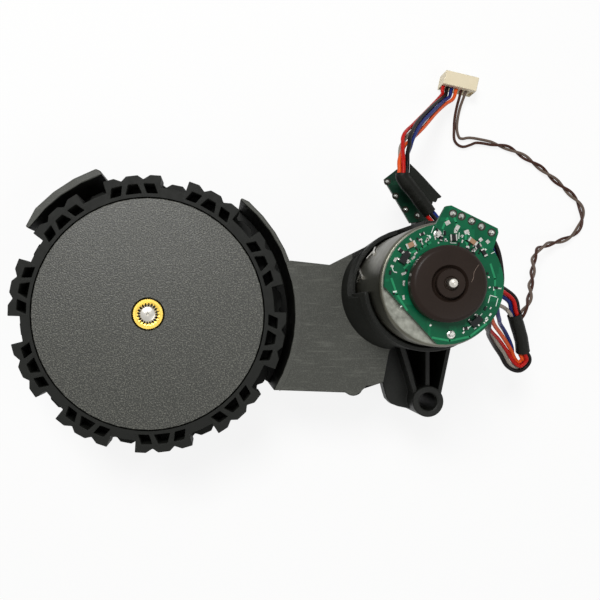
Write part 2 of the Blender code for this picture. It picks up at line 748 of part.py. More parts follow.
def motor_bore(material):
    """Cup interior, the hole for the motor's boss and the way through to the pinion."""
    hole = MOTOR_BOSS_RADIUS + SEAT_GAP
    inner = around(CUP_INNER_RADIUS, 48)
    profile = (
        (hole, CUP_SEAT - CUP_FLOOR_THICKNESS - 1.5 * CUTTER_REACH),
        (hole, CUP_SEAT),
        (inner, CUP_SEAT),
        (inner, CUP_HIGH_RIM + CUTTER_REACH),
    )
    return loft("cutter_cup", turned(MOTOR_AXIS, profile, 48), material)


def axle_passage(material):
    """Axle hole and the bearing's seat above it."""
    hole = around(AXLE_HOLE_RADIUS, 24)
    seat = around(BEARING_RADIUS + SEAT_GAP, 24)
    profile = (
        (hole, 1.0 * MM),
        (hole, BEARING_BACK - SEAT_GAP),
        (seat, BEARING_BACK - SEAT_GAP),
        (seat, CASE_HUB_TOP + 1.0 * MM),
    )
    return loft("cutter_axle", turned(AXLE_AXIS, profile, 24), material)


def case_holes(material):
    """Blind holes for the cover screws and gear pins, and recessed holes for the motor screws."""
    wide = SCREW_RADIUS + SEAT_GAP
    pin = GEAR_PIN_RADIUS + SEAT_GAP
    head = SCREW_HEAD_RADIUS + SEAT_GAP
    head_seat = CUP_SEAT - CUP_FLOOR_THICKNESS
    drillings = []
    for place_of_screw in cover_screw_places():
        drillings.append((place_of_screw, wide, CASE_BACK - MM, COVER_THICKNESS + SCREW_LENGTH, HOLE_SEGMENTS))
    for number, axis, top in gear_pin_places():
        drillings.append((axis, pin, MIDDLE_GEAR_BACK, top + SEAT_GAP, HOLE_SEGMENTS))
    for place_of_screw in motor_screw_places():
        drillings.append((place_of_screw, head, CASE_BACK - MM, head_seat, HOLE_SEGMENTS))
    return holes("cutter_case_holes", drillings, material)


def motor_screw_holes(material):
    """Clearance holes of the motor screws through the cup's floor."""
    wide = SCREW_RADIUS + SEAT_GAP
    floor = CUP_SEAT - CUP_FLOOR_THICKNESS
    drillings = [(spot, wide, floor - MM, CUP_SEAT + MM, HOLE_SEGMENTS) for spot in motor_screw_places()]
    return holes("cutter_motor_screws", drillings, material)


def gear_case():
    """Moulded case: drum, arm, guards, motor cup, ribs and pivot boss in one piece."""
    material = black_plastic()
    case = plate("gear_case", [drum_outline()], CASE_BACK - 6 * STAGGER, WEB_TOP, material)
    for shape in case_shapes(material):
        join(case, shape)
    slab = [(-SLAB_REACH, -SLAB_REACH), (SLAB_REACH, -SLAB_REACH), (SLAB_REACH, SLAB_REACH), (-SLAB_REACH, SLAB_REACH)]
    cut(case, plate("cutter_back", [slab], -SLAB_REACH, CASE_BACK, material))
    join(case, pivot_boss(material))
    for cutter in gear_pockets(material):
        cut(case, cutter)
    for cutter in (motor_bore, cup_window, axle_passage, case_holes, motor_screw_holes, pivot_bore):
        cut(case, cutter(material))
    return case


def cover_outline():
    """Outline of the back cover: the drum, the left ear, the arm and the motor cup's foot."""
    return (
        arc(AXLE_AXIS, DRUM_RADIUS, RIGHT_GUARD_END, LEFT_GUARD_START)
        + left_guard_outline()[:-7]
        + arc(AXLE_AXIS, DRUM_RADIUS, LEFT_GUARD_END, 360.0 + ARM_START)
        + arm_bottom_edge()
        + heel_outline()[1:2]
        + arc(MOTOR_AXIS, CUP_BASE_RADIUS, -90.0, 126.0)
        + arm_top_edge(ARM_DRAFT)[1:]
        + right_guard_outline()[3:8]
    )


def back_cover():
    """Flat cover that closes the gear pockets and carries the bush and the gear pins."""
    material = black_plastic()
    wide = SCREW_RADIUS + SEAT_GAP
    loops = [cover_outline()] + [circle(spot, wide, HOLE_SEGMENTS) for spot in cover_screw_places()]
    cover = plate("back_cover", loops, 0.0, COVER_THICKNESS, material)
    above = COVER_THICKNESS + MM
    head_depth = SCREW_HEAD_HEIGHT + 1.5 * SEAT_GAP
    head = SCREW_HEAD_RADIUS + SEAT_GAP
    drillings = [(spot, head, -MM, head_depth, HOLE_SEGMENTS) for spot in cover_screw_places()]
    for axis in (GEAR_2_AXIS, GEAR_1_AXIS):
        drillings.append((axis, GEAR_PIN_RADIUS + SEAT_GAP, COVER_SKIN, above, HOLE_SEGMENTS))
    bush = around(AXLE_RADIUS + BUSH_WALL + SEAT_GAP, 24)
    drillings.append((AXLE_AXIS, bush, COVER_SKIN, above, 24))
    cut(cover, holes("cutter_cover", drillings, material))
    return cover


def cover_screws():
    """Pan head screws in the cover's counterbores."""
    under_head = SCREW_HEAD_HEIGHT + SEAT_GAP / 2
    profile = (
        (SCREW_HEAD_RADIUS, SEAT_GAP / 2),
        (SCREW_HEAD_RADIUS, under_head),
        (SCREW_RADIUS, under_head),
        (SCREW_RADIUS, SCREW_LENGTH),
        (SCREW_RADIUS * 0.5, SCREW_LENGTH + SCREW_RADIUS),
    )
    for number, spot in enumerate(cover_screw_places(), 1):
        loft(f"cover_screw_{number}", turned(spot, profile, 8), steel())


def ring_part(name, axis, outer, inner, bottom, top, segments, material):
    """Plain ring or sleeve."""
    loops = [circle(axis, outer, segments), circle(axis, inner, segments)]
    return plate(name, loops, bottom, top, material)


def axle_supports():
    """Bush in the cover and bearing in the case's hub."""
    running = around(AXLE_RADIUS + RUNNING_FIT, 24)
    ring_part("axle_bush", AXLE_AXIS, AXLE_RADIUS + BUSH_WALL, running,
              COVER_SKIN + SEAT_GAP, COVER_THICKNESS, 24, brass())
    ring_part("axle_bearing", AXLE_AXIS, BEARING_RADIUS, running,
              BEARING_BACK, BEARING_BACK + BEARING_WIDTH, 24, steel())


def hexagon(radius, count):
    """Hexagon with its outline divided into an even number of points."""
    corners = [Vector(polar(AXLE_AXIS, radius, 60.0 * index)) for index in range(7)]
    each = count // 6
    return [tuple(corners[index // each].lerp(corners[index // each + 1], index % each / each))
            for index in range(count)]


def spline(radius):
    """Round outline with shallow grooves between its teeth."""
    count = SPLINE_TEETH * 2
    return [polar(AXLE_AXIS, radius - SPLINE_DEPTH * (index % 2), 360.0 * index / count) for index in range(count)]


def axle():
    """Axle with a hexagon for the output gear and a splined end for the wheel."""
    count = SPLINE_TEETH * 2
    shaft = circle(AXLE_AXIS, AXLE_RADIUS, count)
    hex_part = hexagon(AXLE_HEX_RADIUS, count)
    tip_level = WHEEL_FACE + AXLE_PROUD
    shoulder = WHEEL_FACE - INSERT_LENGTH - SEAT_GAP
    sections = [
        (shaft, COVER_SKIN + SEAT_GAP),
        (shaft, OUTPUT_GEAR_BACK - SEAT_GAP / 2),
        (hex_part, OUTPUT_GEAR_BACK - SEAT_GAP / 2),
        (hex_part, OUTPUT_GEAR_FRONT + SEAT_GAP / 2),
        (shaft, OUTPUT_GEAR_FRONT + SEAT_GAP / 2),
        (shaft, shoulder),
        (spline(SPLINE_RADIUS), shoulder),
        (spline(SPLINE_RADIUS), tip_level - 0.5 * MM),
        (circle(AXLE_AXIS, AXLE_TIP_RADIUS, count), tip_level),
    ]
    return loft("axle", sections, steel())


def hub_insert():
    """Brass insert whose splined bore grips the axle's end."""
    count = SPLINE_TEETH * 2
    loops = [circle(AXLE_AXIS, INSERT_RADIUS, count), spline(SPLINE_RADIUS + SEAT_GAP)]
    return plate("hub_insert", loops, WHEEL_FACE - INSERT_LENGTH, WHEEL_FACE, brass())


def rib_star():
    """Star of the wheel's inner ribs as one outline."""
    outer = HUB_RADIUS - HUB_SLEEVE_WALL / 2
    inner = HUB_BOSS_RADIUS * 0.9
    outline = []
    for index in range(HUB_RIBS):
        middle = 360.0 * index / HUB_RIBS
        far = math.degrees(HUB_RIB_THICKNESS / 2 / outer)
        near = math.degrees(HUB_RIB_THICKNESS / 2 / inner)
        outline += [polar(AXLE_AXIS, inner, middle - near), polar(AXLE_AXIS, outer, middle - far),
                    polar(AXLE_AXIS, outer, middle + far), polar(AXLE_AXIS, inner, middle + near)]
    return outline


def wheel_hub():
    """Dished wheel: a front disc, a sleeve under the tyre, a centre boss and ribs."""
    material = grey_plastic()
    bore = around(INSERT_RADIUS + SEAT_GAP, 48)
    disc_back = WHEEL_FACE - HUB_DISC_THICKNESS
    sleeve_inside = HUB_RADIUS - HUB_SLEEVE_WALL
    profile = (
        (bore, HUB_BOSS_BACK),
        (bore, WHEEL_FACE),
        (HUB_RADIUS, WHEEL_FACE),
        (HUB_RADIUS, TYRE_BACK),
        (sleeve_inside, TYRE_BACK),
        (sleeve_inside, disc_back),
        (HUB_BOSS_RADIUS, disc_back),
        (HUB_BOSS_RADIUS, HUB_BOSS_BACK),
    )
    hub = loft("wheel_hub", turned(AXLE_AXIS, profile, 48), material, closed=True)
    loops = [rib_star(), circle(AXLE_AXIS, HUB_BOSS_RADIUS * 0.8, 24)]
    join(hub, plate("guide_hub_ribs", loops, HUB_RIB_BACK, disc_back + MM, material))
    return hub


def tread_row(offset, squash=False):
    """Outline of one tread row: per group a middle lug, two end lugs and the notches between."""
    group = (
        (-12.3, CARCASS_RADIUS),
        (-12.1, LUG_RADIUS),
        (-7.6, LUG_RADIUS),
        (-4.7, NOTCH_RADIUS),
        (-2.4, LUG_RADIUS),
        (2.4, LUG_RADIUS),
        (4.7, NOTCH_RADIUS),
        (7.6, LUG_RADIUS),
        (12.1, LUG_RADIUS),
        (12.3, CARCASS_RADIUS),
        (18.0, CARCASS_RADIUS),
    )
    outline = []
    for index in range(TREAD_GROUPS):
        middle = TREAD_FIRST_GROUP + offset + 360.0 * index / TREAD_GROUPS
        for angle, radius in group:
            outline.append(polar(AXLE_AXIS, GROOVE_RADIUS if squash else radius, middle + angle))
    return outline


def tyre_bore(offset):
    """Bore ring with one point under each point of a tread row."""
    scale = TYRE_BORE_RADIUS / GROOVE_RADIUS
    return [(x * scale, y * scale) for x, y in tread_row(offset, squash=True)]


def tread_pockets(offset, bottom, top, bm):
    """Add the three blind pockets of each lug group to a cutter."""
    pockets = (
        ((-11.3, -6.2), (-9.5, -4.8)),
        ((-3.8, 3.8), (-2.0, 2.0)),
        ((6.2, 11.3), (4.8, 9.5)),
    )
    for index in range(TREAD_GROUPS):
        middle = TREAD_FIRST_GROUP + offset + 360.0 * index / TREAD_GROUPS
        for floor, roof in pockets:
            ring = [
                polar(AXLE_AXIS, POCKET_FLOOR_RADIUS, middle + floor[0]),
                polar(AXLE_AXIS, POCKET_FLOOR_RADIUS, middle + floor[1]),
                polar(AXLE_AXIS, POCKET_ROOF_RADIUS, middle + roof[1]),
                polar(AXLE_AXIS, POCKET_ROOF_RADIUS, middle + roof[0]),
            ]
            add_loft(bm, [(ring, bottom), (ring, top)])


def tyre():
    """Tyre with two rows of lug groups, the rear row turned by half a group."""
    material = tyre_rubber()
    half_group = 180.0 / TREAD_GROUPS
    rear_front = TYRE_BACK + TREAD_ROW_WIDTH
    front_back = WHEEL_FACE - TREAD_ROW_WIDTH
    sections = [
        (tread_row(-half_group), TYRE_BACK),
        (tread_row(-half_group), rear_front),
        (tread_row(-half_group, squash=True), rear_front),
        (tread_row(0.0, squash=True), front_back),
        (tread_row(0.0), front_back),
        (tread_row(0.0), WHEEL_FACE),
        (tyre_bore(0.0), WHEEL_FACE),
        (tyre_bore(-half_group), TYRE_BACK),
    ]
    body = loft("tyre", turn_to_match(sections), material, closed=True)
    bm = bmesh.new()
    tread_pockets(0.0, WHEEL_FACE - POCKET_DEPTH, WHEEL_FACE + MM, bm)
    tread_pockets(-half_group, TYRE_BACK - MM, TYRE_BACK + POCKET_DEPTH, bm)
    cut(body, solid("cutter_tread_pockets", bm, material))
    return body


def turn_to_match(sections):
    """Start every ring of the tyre at the point next to the first ring's first point."""
    first = Vector(sections[0][0][0]).normalized()
    matched = []
    for ring, level in sections:
        start = max(range(len(ring)), key=lambda index: Vector(ring[index]).normalized().dot(first))
        matched.append((ring[start:] + ring[:start], level))
    return matched


def output_gear():
    """Largest gear, driven round on the axle's hexagon."""
    outline = gear_outline(AXLE_AXIS, OUTPUT_MODULE, OUTPUT_TEETH, 0.0)
    bore = hexagon(AXLE_HEX_RADIUS + SEAT_GAP / math.cos(math.pi / 6), 6)
    return plate("output_gear", [outline, bore], OUTPUT_GEAR_BACK, OUTPUT_GEAR_FRONT, white_acetal())


def compound_gear(name, axis, wheel, pinion, wheel_levels, pinion_levels):
    """Large gear and small gear moulded in one piece, with a hub that reaches the cover."""
    material = white_acetal()
    gear = plate(name, [wheel], wheel_levels[0], wheel_levels[1], material)
    join(gear, plate(f"guide_{name}_pinion", [pinion], pinion_levels[0], wheel_levels[0] + 0.2 * MM, material))
    hub = ((GEAR_HUB_RADIUS, OUTPUT_GEAR_BACK), (GEAR_HUB_RADIUS, wheel_levels[0] + 0.4 * MM))
    if pinion_levels[0] > OUTPUT_GEAR_BACK:
        join(gear, loft(f"guide_{name}_hub", turned(axis, hub, COARSE_SEGMENTS), material))
    bore = around(GEAR_PIN_RADIUS + RUNNING_FIT, COARSE_SEGMENTS)
    cut(gear, holes(f"cutter_{name}", [(axis, bore, MM, wheel_levels[1] + MM, COARSE_SEGMENTS)], material))
    return gear


def compound_gears():
    """Both reduction gears, turned so that their teeth mesh at rest."""
    pinion_2 = meshing_phase(GEAR_2_DIRECTION, OUTPUT_TEETH, 0.0, OUTPUT_PINION_TEETH)
    compound_gear(
        "compound_gear_2", GEAR_2_AXIS,
        gear_outline(GEAR_2_AXIS, MIDDLE_MODULE, MIDDLE_TEETH, 0.0),
        gear_outline(GEAR_2_AXIS, OUTPUT_MODULE, OUTPUT_PINION_TEETH, pinion_2, 3),
        (MIDDLE_GEAR_BACK, MIDDLE_GEAR_FRONT), (OUTPUT_GEAR_BACK, MIDDLE_GEAR_BACK),
    )
    pinion_1 = meshing_phase(GEAR_1_DIRECTION, MIDDLE_TEETH, 0.0, MIDDLE_PINION_TEETH)
    compound_gear(
        "compound_gear_1", GEAR_1_AXIS,
        gear_outline(GEAR_1_AXIS, FIRST_MODULE, FIRST_TEETH, 0.0),
        gear_outline(GEAR_1_AXIS, MIDDLE_MODULE, MIDDLE_PINION_TEETH, pinion_1, 3),
        (FIRST_GEAR_BACK, FIRST_GEAR_FRONT), (OUTPUT_GEAR_FRONT + LAYER_GAP / 2, FIRST_GEAR_BACK),
    )
    for number, axis, top in gear_pin_places():
        profile = ((GEAR_PIN_RADIUS, COVER_SKIN + SEAT_GAP), (GEAR_PIN_RADIUS, top))
        loft(f"gear_pin_{number}", turned(axis, profile, COARSE_SEGMENTS), steel())


def motor_can():
    """Drawn steel can with a bearing boss in the middle of its closed end."""
    material = steel()
    bore = around(SHAFT_RADIUS + RUNNING_FIT, COARSE_SEGMENTS)
    outer = MOTOR_RADIUS
    inner = MOTOR_RADIUS - MOTOR_WALL
    segments = 36
    profile = (
        (bore, MOTOR_START - MOTOR_BOSS_LENGTH),
        (MOTOR_BOSS_RADIUS, MOTOR_START - MOTOR_BOSS_LENGTH),
        (MOTOR_BOSS_RADIUS, MOTOR_START),
        (outer - 0.6 * MM, MOTOR_START),
        (outer, MOTOR_START + 0.6 * MM),
        (outer, MOTOR_END),
        (inner, MOTOR_END),
        (inner, MOTOR_START + MOTOR_PLATE),
        (bore, MOTOR_START + MOTOR_PLATE),
    )
    can = loft("motor_can", turned(MOTOR_AXIS, profile, segments), material, closed=True)
    wide = SCREW_RADIUS + SEAT_GAP
    top = MOTOR_START + MOTOR_PLATE + MM
    drillings = [(spot, wide, MOTOR_START - MM, top, HOLE_SEGMENTS) for spot in motor_screw_places()]
    cut(can, holes("cutter_motor_can", drillings, material))
    return can


def motor_fixed_parts():
    """End bell, field magnets, screws and terminals."""
    inner = MOTOR_RADIUS - MOTOR_WALL - SEAT_GAP
    bell_top = MOTOR_END - SEAT_GAP
    bore = around(SHAFT_RADIUS + RUNNING_FIT, 24)
    ring_part("motor_end_bell", MOTOR_AXIS, inner, bore, bell_top - END_BELL_THICKNESS, bell_top, 24, grey_plastic())
    start = MOTOR_START + MOTOR_PLATE + 2.0 * MM
    for number, middle in enumerate((0.0, 180.0), 1):
        outside = arc(MOTOR_AXIS, inner, middle - MAGNET_ARC / 2, middle + MAGNET_ARC / 2, 10.0)
        inside = arc(MOTOR_AXIS, inner - MAGNET_WALL, middle + MAGNET_ARC / 2, middle - MAGNET_ARC / 2, 10.0)
        plate(f"motor_magnet_{number}", [outside + inside], start, start + MAGNET_LENGTH, ferrite())
    head_top = CUP_SEAT - CUP_FLOOR_THICKNESS - SEAT_GAP
    profile = (
        (SCREW_HEAD_RADIUS, head_top - SCREW_HEAD_HEIGHT),
        (SCREW_HEAD_RADIUS, head_top),
        (SCREW_RADIUS, head_top),
        (SCREW_RADIUS, MOTOR_START + MOTOR_PLATE),
    )
    for number, spot in enumerate(motor_screw_places(), 1):
        loft(f"motor_screw_{number}", turned(spot, profile, 8), steel())
    for number, direction in enumerate(TERMINAL_DIRECTIONS, 1):
        spot = polar(MOTOR_AXIS, TERMINAL_CIRCLE, direction)
        profile = ((TERMINAL_RADIUS, bell_top + SEAT_GAP), (TERMINAL_RADIUS, TERMINAL_TIP))
        loft(f"motor_terminal_{number}", turned(spot, profile, 8), steel())


def armature_outline():
    """Slotted armature, broad poles with narrow slots between them."""
    outline = []
    for index in range(ARMATURE_SLOTS):
        middle = 360.0 * index / ARMATURE_SLOTS
        pole = 360.0 / ARMATURE_SLOTS
        outline += arc(MOTOR_AXIS, ARMATURE_RADIUS, middle - pole * 0.42, middle + pole * 0.42, 10.0)
        outline.append(polar(MOTOR_AXIS, ARMATURE_RADIUS - ARMATURE_SLOT_DEPTH, middle + pole * 0.46))
        outline.append(polar(MOTOR_AXIS, ARMATURE_RADIUS - ARMATURE_SLOT_DEPTH, middle + pole * 0.54))
    return outline


def rotor():
    """Shaft with its pinion, armature, commutator and encoder magnet."""
    bore = around(SHAFT_RADIUS + SEAT_GAP, COARSE_SEGMENTS)
    pinion_back = FIRST_GEAR_BACK - AXIAL_PLAY
    tip = SHAFT_TIP
    shaft = (
        (SHAFT_RADIUS, pinion_back - SEAT_GAP),
        (SHAFT_RADIUS, tip - 0.3 * MM),
        (SHAFT_RADIUS - 0.3 * MM, tip),
    )
    loft("motor_shaft", turned(MOTOR_AXIS, shaft, COARSE_SEGMENTS), steel())
    phase = meshing_phase(MOTOR_DIRECTION, FIRST_TEETH, 0.0, MOTOR_PINION_TEETH)
    outline = gear_outline(MOTOR_AXIS, FIRST_MODULE, MOTOR_PINION_TEETH, phase, 3)
    hole = circle(MOTOR_AXIS, bore, COARSE_SEGMENTS)
    plate("pinion", [outline, hole], pinion_back, pinion_back + MOTOR_PINION_WIDTH, brass())
    start = MOTOR_START + MOTOR_PLATE + 4.0 * MM
    plate("armature", [armature_outline(), hole], start, start + ARMATURE_LENGTH, copper())
    behind = start + ARMATURE_LENGTH + MM
    ring_part("commutator", MOTOR_AXIS, COMMUTATOR_RADIUS, bore, behind, behind + COMMUTATOR_LENGTH,
              COARSE_SEGMENTS, copper())
    encoder_magnet(bore)


def encoder_magnet(bore):
    """Magnet disc with a grooved face and a chamfered rim."""
    back = BOARD_FACE + ENCODER_MAGNET_GAP
    face = back + ENCODER_MAGNET_THICKNESS
    groove = face - ENCODER_GROOVE_DEPTH
    profile = (
        (bore, back),
        (ENCODER_MAGNET_RADIUS, back),
        (ENCODER_MAGNET_RADIUS, face - ENCODER_MAGNET_CHAMFER * 0.5),
        (ENCODER_MAGNET_RADIUS - ENCODER_MAGNET_CHAMFER, face),
        (ENCODER_GROOVE_RADIUS, face),
        (ENCODER_GROOVE_RADIUS, groove),
        (ENCODER_HUB_RADIUS, groove),
        (ENCODER_HUB_RADIUS, face + 0.4 * MM),
        (bore, face + 0.4 * MM),
    )
    loft("magnet_disc", turned(MOTOR_AXIS, profile, 24), ferrite(), closed=True)


def encoder_board():
    """Round board with one flat side and a tab for the wires' solder joints."""
    outline = (
        arc(MOTOR_AXIS, BOARD_RADIUS, BOARD_FLAT_END, 360.0 + BOARD_TAB_START)
        + [from_axis(MOTOR_AXIS, corner) for corner in BOARD_TAB]
        + arc(MOTOR_AXIS, BOARD_RADIUS, BOARD_TAB_END, BOARD_FLAT_START)
    )
    loops = [outline, circle(MOTOR_AXIS, ENCODER_HUB_RADIUS, COARSE_SEGMENTS)]
    for direction in TERMINAL_DIRECTIONS:
        loops.append(circle(polar(MOTOR_AXIS, TERMINAL_CIRCLE, direction), TERMINAL_RADIUS + SEAT_GAP, HOLE_SEGMENTS))
    plate("encoder_board", loops, BOARD_BACK, BOARD_FACE, green_board())
    for number, direction in enumerate(HALL_DIRECTIONS, 1):
        middle = Vector(polar(MOTOR_AXIS, HALL_CIRCLE, direction))
        out = Vector(polar((0.0, 0.0), HALL_WIDTH / 2, direction))
        side = Vector(polar((0.0, 0.0), HALL_LENGTH / 2, direction + 90.0))
        corners = [tuple(middle + sign_out * out + sign_side * side)
                   for sign_out, sign_side in ((-1, -1), (1, -1), (1, 1), (-1, 1))]
        plate(f"hall_sensor_{number}", [corners], BOARD_FACE + SEAT_GAP, BOARD_FACE + SEAT_GAP + HALL_HEIGHT,
              chip_black())


def switch_parts():
    """Drop switch on the case's bracket, under its own small board."""
    board = [from_axis(MOTOR_AXIS, corner) for corner in SWITCH_BOARD_CORNERS]
    body = [from_axis(MOTOR_AXIS, corner) for corner in SWITCH_BODY_CORNERS]
    board_back = SWITCH_BOARD_FACE - SWITCH_BOARD_THICKNESS
    body_top = board_back - SEAT_GAP
    plate("switch_board", [board], board_back, SWITCH_BOARD_FACE, green_board())
    plate("drop_switch", [body], body_top - SWITCH_HEIGHT, body_top, chip_black())


def smooth_points(route, spacing):
    """Points at an even spacing along a smooth curve through the route's points."""
    knots = [Vector(point) for point in route]
    knots = [2 * knots[0] - knots[1]] + knots + [2 * knots[-1] - knots[-2]]
    dense = []
    for index in range(1, len(knots) - 2):
        before, start, end, after = knots[index - 1:index + 3]
        for step in range(24):
            t = step / 24
            dense.append(0.5 * (2 * start + (end - before) * t
                                + (2 * before - 5 * start + 4 * end - after) * t ** 2
                                + (3 * start - before - 3 * end + after) * t ** 3))
    dense.append(knots[-2])
    lengths = [0.0]
    for start, end in zip(dense, dense[1:]):
        lengths.append(lengths[-1] + (end - start).length)
    count = max(2, round(lengths[-1] / spacing))
    points = []
    place_on = 0
    for index in range(count + 1):
        wanted = lengths[-1] * index / count
        while place_on < len(lengths) - 2 and lengths[place_on + 1] < wanted:
            place_on += 1
        part = (wanted - lengths[place_on]) / (lengths[place_on + 1] - lengths[place_on])
        points.append(dense[place_on].lerp(dense[place_on + 1], min(part, 1.0)))
    return points


def cord(name, route, diameter, step, material):
    """Round cord along a smooth curve through its route, given in metres."""
    points = smooth_points(route, step)
    curve = bpy.data.curves.new(name, "CURVE")
    curve.dimensions = "3D"
    curve.bevel_depth = diameter / 2
    curve.bevel_resolution = 2
    curve.use_fill_caps = True
    path = curve.splines.new("POLY")
    path.points.add(len(points) - 1)
    for item, point in zip(path.points, points):
        item.co = (*point, 1.0)
    return place(name, curve, material)


def metres(points):
    """Route given in millimetres, as metres."""
    return [tuple(value * MM for value in point) for point in points]


# Middle line of the five wires from the left sleeve to the connector
HARNESS_ROUTE = metres((
    (65.0, 37.1, 30.95), (65.2, 39.1, 30.7), (65.8, 41.4, 29.5), (66.8, 44.0, 28), (68.1, 46.7, 26),
    (72.3, 51.6, 20.5), (78.7, 57.9, 13), (83.1, 61.8, 7.4), (85.4, 64.1, 4.6), (86.0, 66.1, 4.2),
))
# Their middle line from the left sleeve, under the board's tab, down to the right sleeve
CROSSING_ROUTE = metres((
    (72.7, 25.4, 29.95), (74.4, 23.5, 30.4), (79.2, 18.8, 36), (82.2, 14.9, 40.6), (83.7, 11.4, 41.3),
    (85.1, 7.6, 38), (88.7, 4.9, 31.5), (94.2, 3.3, 27.3), (95.9, 0.5, 26.2),
))
# Their middle line from the right sleeve, back round the cup's outside and up to the board's tab
RETURN_ROUTE = metres((
    (100.5, -10.7, 21.85), (101.3, -12.6, 21.3), (99.7, -14.3, 21), (97.3, -13.2, 21.4), (95.0, -10.1, 23.2),
    (91.5, -6.6, 27), (87.6, -3.3, 33), (85.5, -0.4, 40), (84.7, 3.7, 46), (84.0, 8.1, 50.5),
    (82.7, 11.6, 52.6), (80.5, 15.2, 54), (77.7, 18.1, 55), (74.2, 20.2, 55.4),
))
# Middle line of the twisted pair from the connector, over the bench, to the right sleeve
PAIR_ROUTE = metres((
    (90.2, 65.5, 4), (89.9, 63.9, 3.2), (89.5, 61.6, 2), (89.1, 58.4, 1.2), (89.0, 55.1, 1),
    (89.5, 52.4, 1), (91.1, 51.4, 1), (93.2, 51.8, 1), (95.6, 52.0, 1), (100.2, 51.2, 1),
    (105.4, 49.8, 1), (110.0, 47.3, 1), (114.7, 44.2, 1), (119.0, 40.7, 1), (123.7, 36.7, 1),
    (126.8, 33.3, 1), (127.8, 29.3, 1), (126.1, 25.1, 1.2), (122.2, 22.5, 2), (116.5, 20.9, 4),
    (111.3, 18.9, 7.5), (108.3, 15.5, 11), (106.4, 11.8, 14.6), (103.8, 7.6, 19), (101.6, 3.8, 23),
    (99.0, 0.9, 25.8),
))
# Middle lines of both sleeves
SLEEVE_LEFT_ROUTE = metres((
    (65.0, 35.9, 31), (65.2, 34.7, 31), (68.1, 31.3, 30.6), (70.9, 27.9, 30.1), (72.3, 26.1, 29.9),
))
SLEEVE_RIGHT_ROUTE = metres((
    (96.2, -0.1, 26), (97.5, -3.1, 25.1), (99.2, -6.8, 23.6), (100.3, -10.1, 22.1),
))


def connector():
    """Harness plug, lying flat with its wire side towards the module."""
    along = Vector((math.cos(CONNECTOR_DIRECTION), math.sin(CONNECTOR_DIRECTION)))
    inward = Vector((-along.y, along.x))
    middle = Vector(CONNECTOR_FACE)
    corners = []
    for side, depth in ((-0.5, 0.0), (0.5, 0.0), (0.5, 1.0), (-0.5, 1.0)):
        corners.append(tuple(middle + along * side * CONNECTOR_LENGTH + inward * depth * CONNECTOR_DEPTH))
    plate("connector", [corners], CONNECTOR_LIFT, CONNECTOR_LIFT + CONNECTOR_HEIGHT, cream_nylon())


def wiring():
    """Wire bundle in three stretches, two sleeves, the twisted pair, the tape end and the connector."""
    red = finish("wire_red", (0.55, 0.02, 0.015), 0.4)
    cord("harness", HARNESS_ROUTE, BUNDLE_DIAMETER, BUNDLE_STEP, red)
    cord("harness_crossing", CROSSING_ROUTE, BUNDLE_DIAMETER, BUNDLE_STEP, red)
    cord("harness_return", RETURN_ROUTE, BUNDLE_DIAMETER, BUNDLE_STEP, red)
    cord("sleeve_left", SLEEVE_LEFT_ROUTE, SLEEVE_DIAMETER, BUNDLE_STEP, sleeve_black())
    cord("sleeve_right", SLEEVE_RIGHT_ROUTE, SLEEVE_DIAMETER, BUNDLE_STEP, sleeve_black())
    brown = finish("wire_brown", (0.09, 0.05, 0.035), 0.5)
    cord("twisted_pair", PAIR_ROUTE, PAIR_DIAMETER, PAIR_STEP, brown)
    outline = [(x * MM, y * MM) for x, y in TAPE_OUTLINE]
    plate("tape_flag", [outline], TAPE_LEVEL, TAPE_LEVEL + TAPE_THICKNESS, sleeve_black())
    connector()


def main():
    """Build the whole module."""
    clear_scene()
    gear_case()
    back_cover()
    cover_screws()
    axle_supports()
    axle()
    hub_insert()
    wheel_hub()
    tyre()
    output_gear()
    compound_gears()
    motor_can()
    motor_fixed_parts()
    rotor()
    encoder_board()
    switch_parts()
    wiring()


main()
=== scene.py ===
"""Looks of a robot vacuum's drive wheel module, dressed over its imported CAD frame.

Everything is in metres in the frame of the CAD: the origin is on the wheel's axis, in
the plane of the gearbox's flat back, and +Z points to the wheel's outer face.
"""

import json
import logging
import math
import random
from collections.abc import Iterable, Sequence
from dataclasses import dataclass
from enum import Enum

import bmesh
import bpy
from mathutils import Matrix, Vector, noise

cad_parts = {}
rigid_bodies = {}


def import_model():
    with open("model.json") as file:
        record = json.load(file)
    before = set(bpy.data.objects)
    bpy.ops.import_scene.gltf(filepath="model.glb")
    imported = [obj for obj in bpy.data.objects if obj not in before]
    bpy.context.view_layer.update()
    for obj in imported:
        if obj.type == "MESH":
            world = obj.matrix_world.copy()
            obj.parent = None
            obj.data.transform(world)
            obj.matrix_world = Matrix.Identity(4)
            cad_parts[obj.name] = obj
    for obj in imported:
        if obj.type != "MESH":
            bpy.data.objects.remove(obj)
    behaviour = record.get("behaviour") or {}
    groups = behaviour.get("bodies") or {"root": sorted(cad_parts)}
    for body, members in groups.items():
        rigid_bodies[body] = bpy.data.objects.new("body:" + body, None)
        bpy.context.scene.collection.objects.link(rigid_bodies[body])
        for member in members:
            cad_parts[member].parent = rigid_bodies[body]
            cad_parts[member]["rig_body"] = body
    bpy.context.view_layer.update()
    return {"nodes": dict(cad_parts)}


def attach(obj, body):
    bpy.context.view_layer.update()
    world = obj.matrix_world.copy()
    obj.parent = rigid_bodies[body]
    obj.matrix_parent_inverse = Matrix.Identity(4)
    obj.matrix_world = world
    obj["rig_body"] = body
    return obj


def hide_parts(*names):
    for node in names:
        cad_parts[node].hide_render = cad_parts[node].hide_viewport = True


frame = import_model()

LOG = logging.getLogger("wheel_module")
MM = 0.001
MOTOR_AXIS = (66.8 * MM, 6.5 * MM)
ON_AXIS = (0.0, 0.0)
# Sockets of a Mix node that mixes colours
MIX_FIRST = 6
MIX_SECOND = 7
MIX_COLOUR = 2
# Angles between faces, in degrees: from the first an edge is shaded sharp, from the second it is rounded
SHADED_SHARP = 32.0
ROUNDED = 34.0
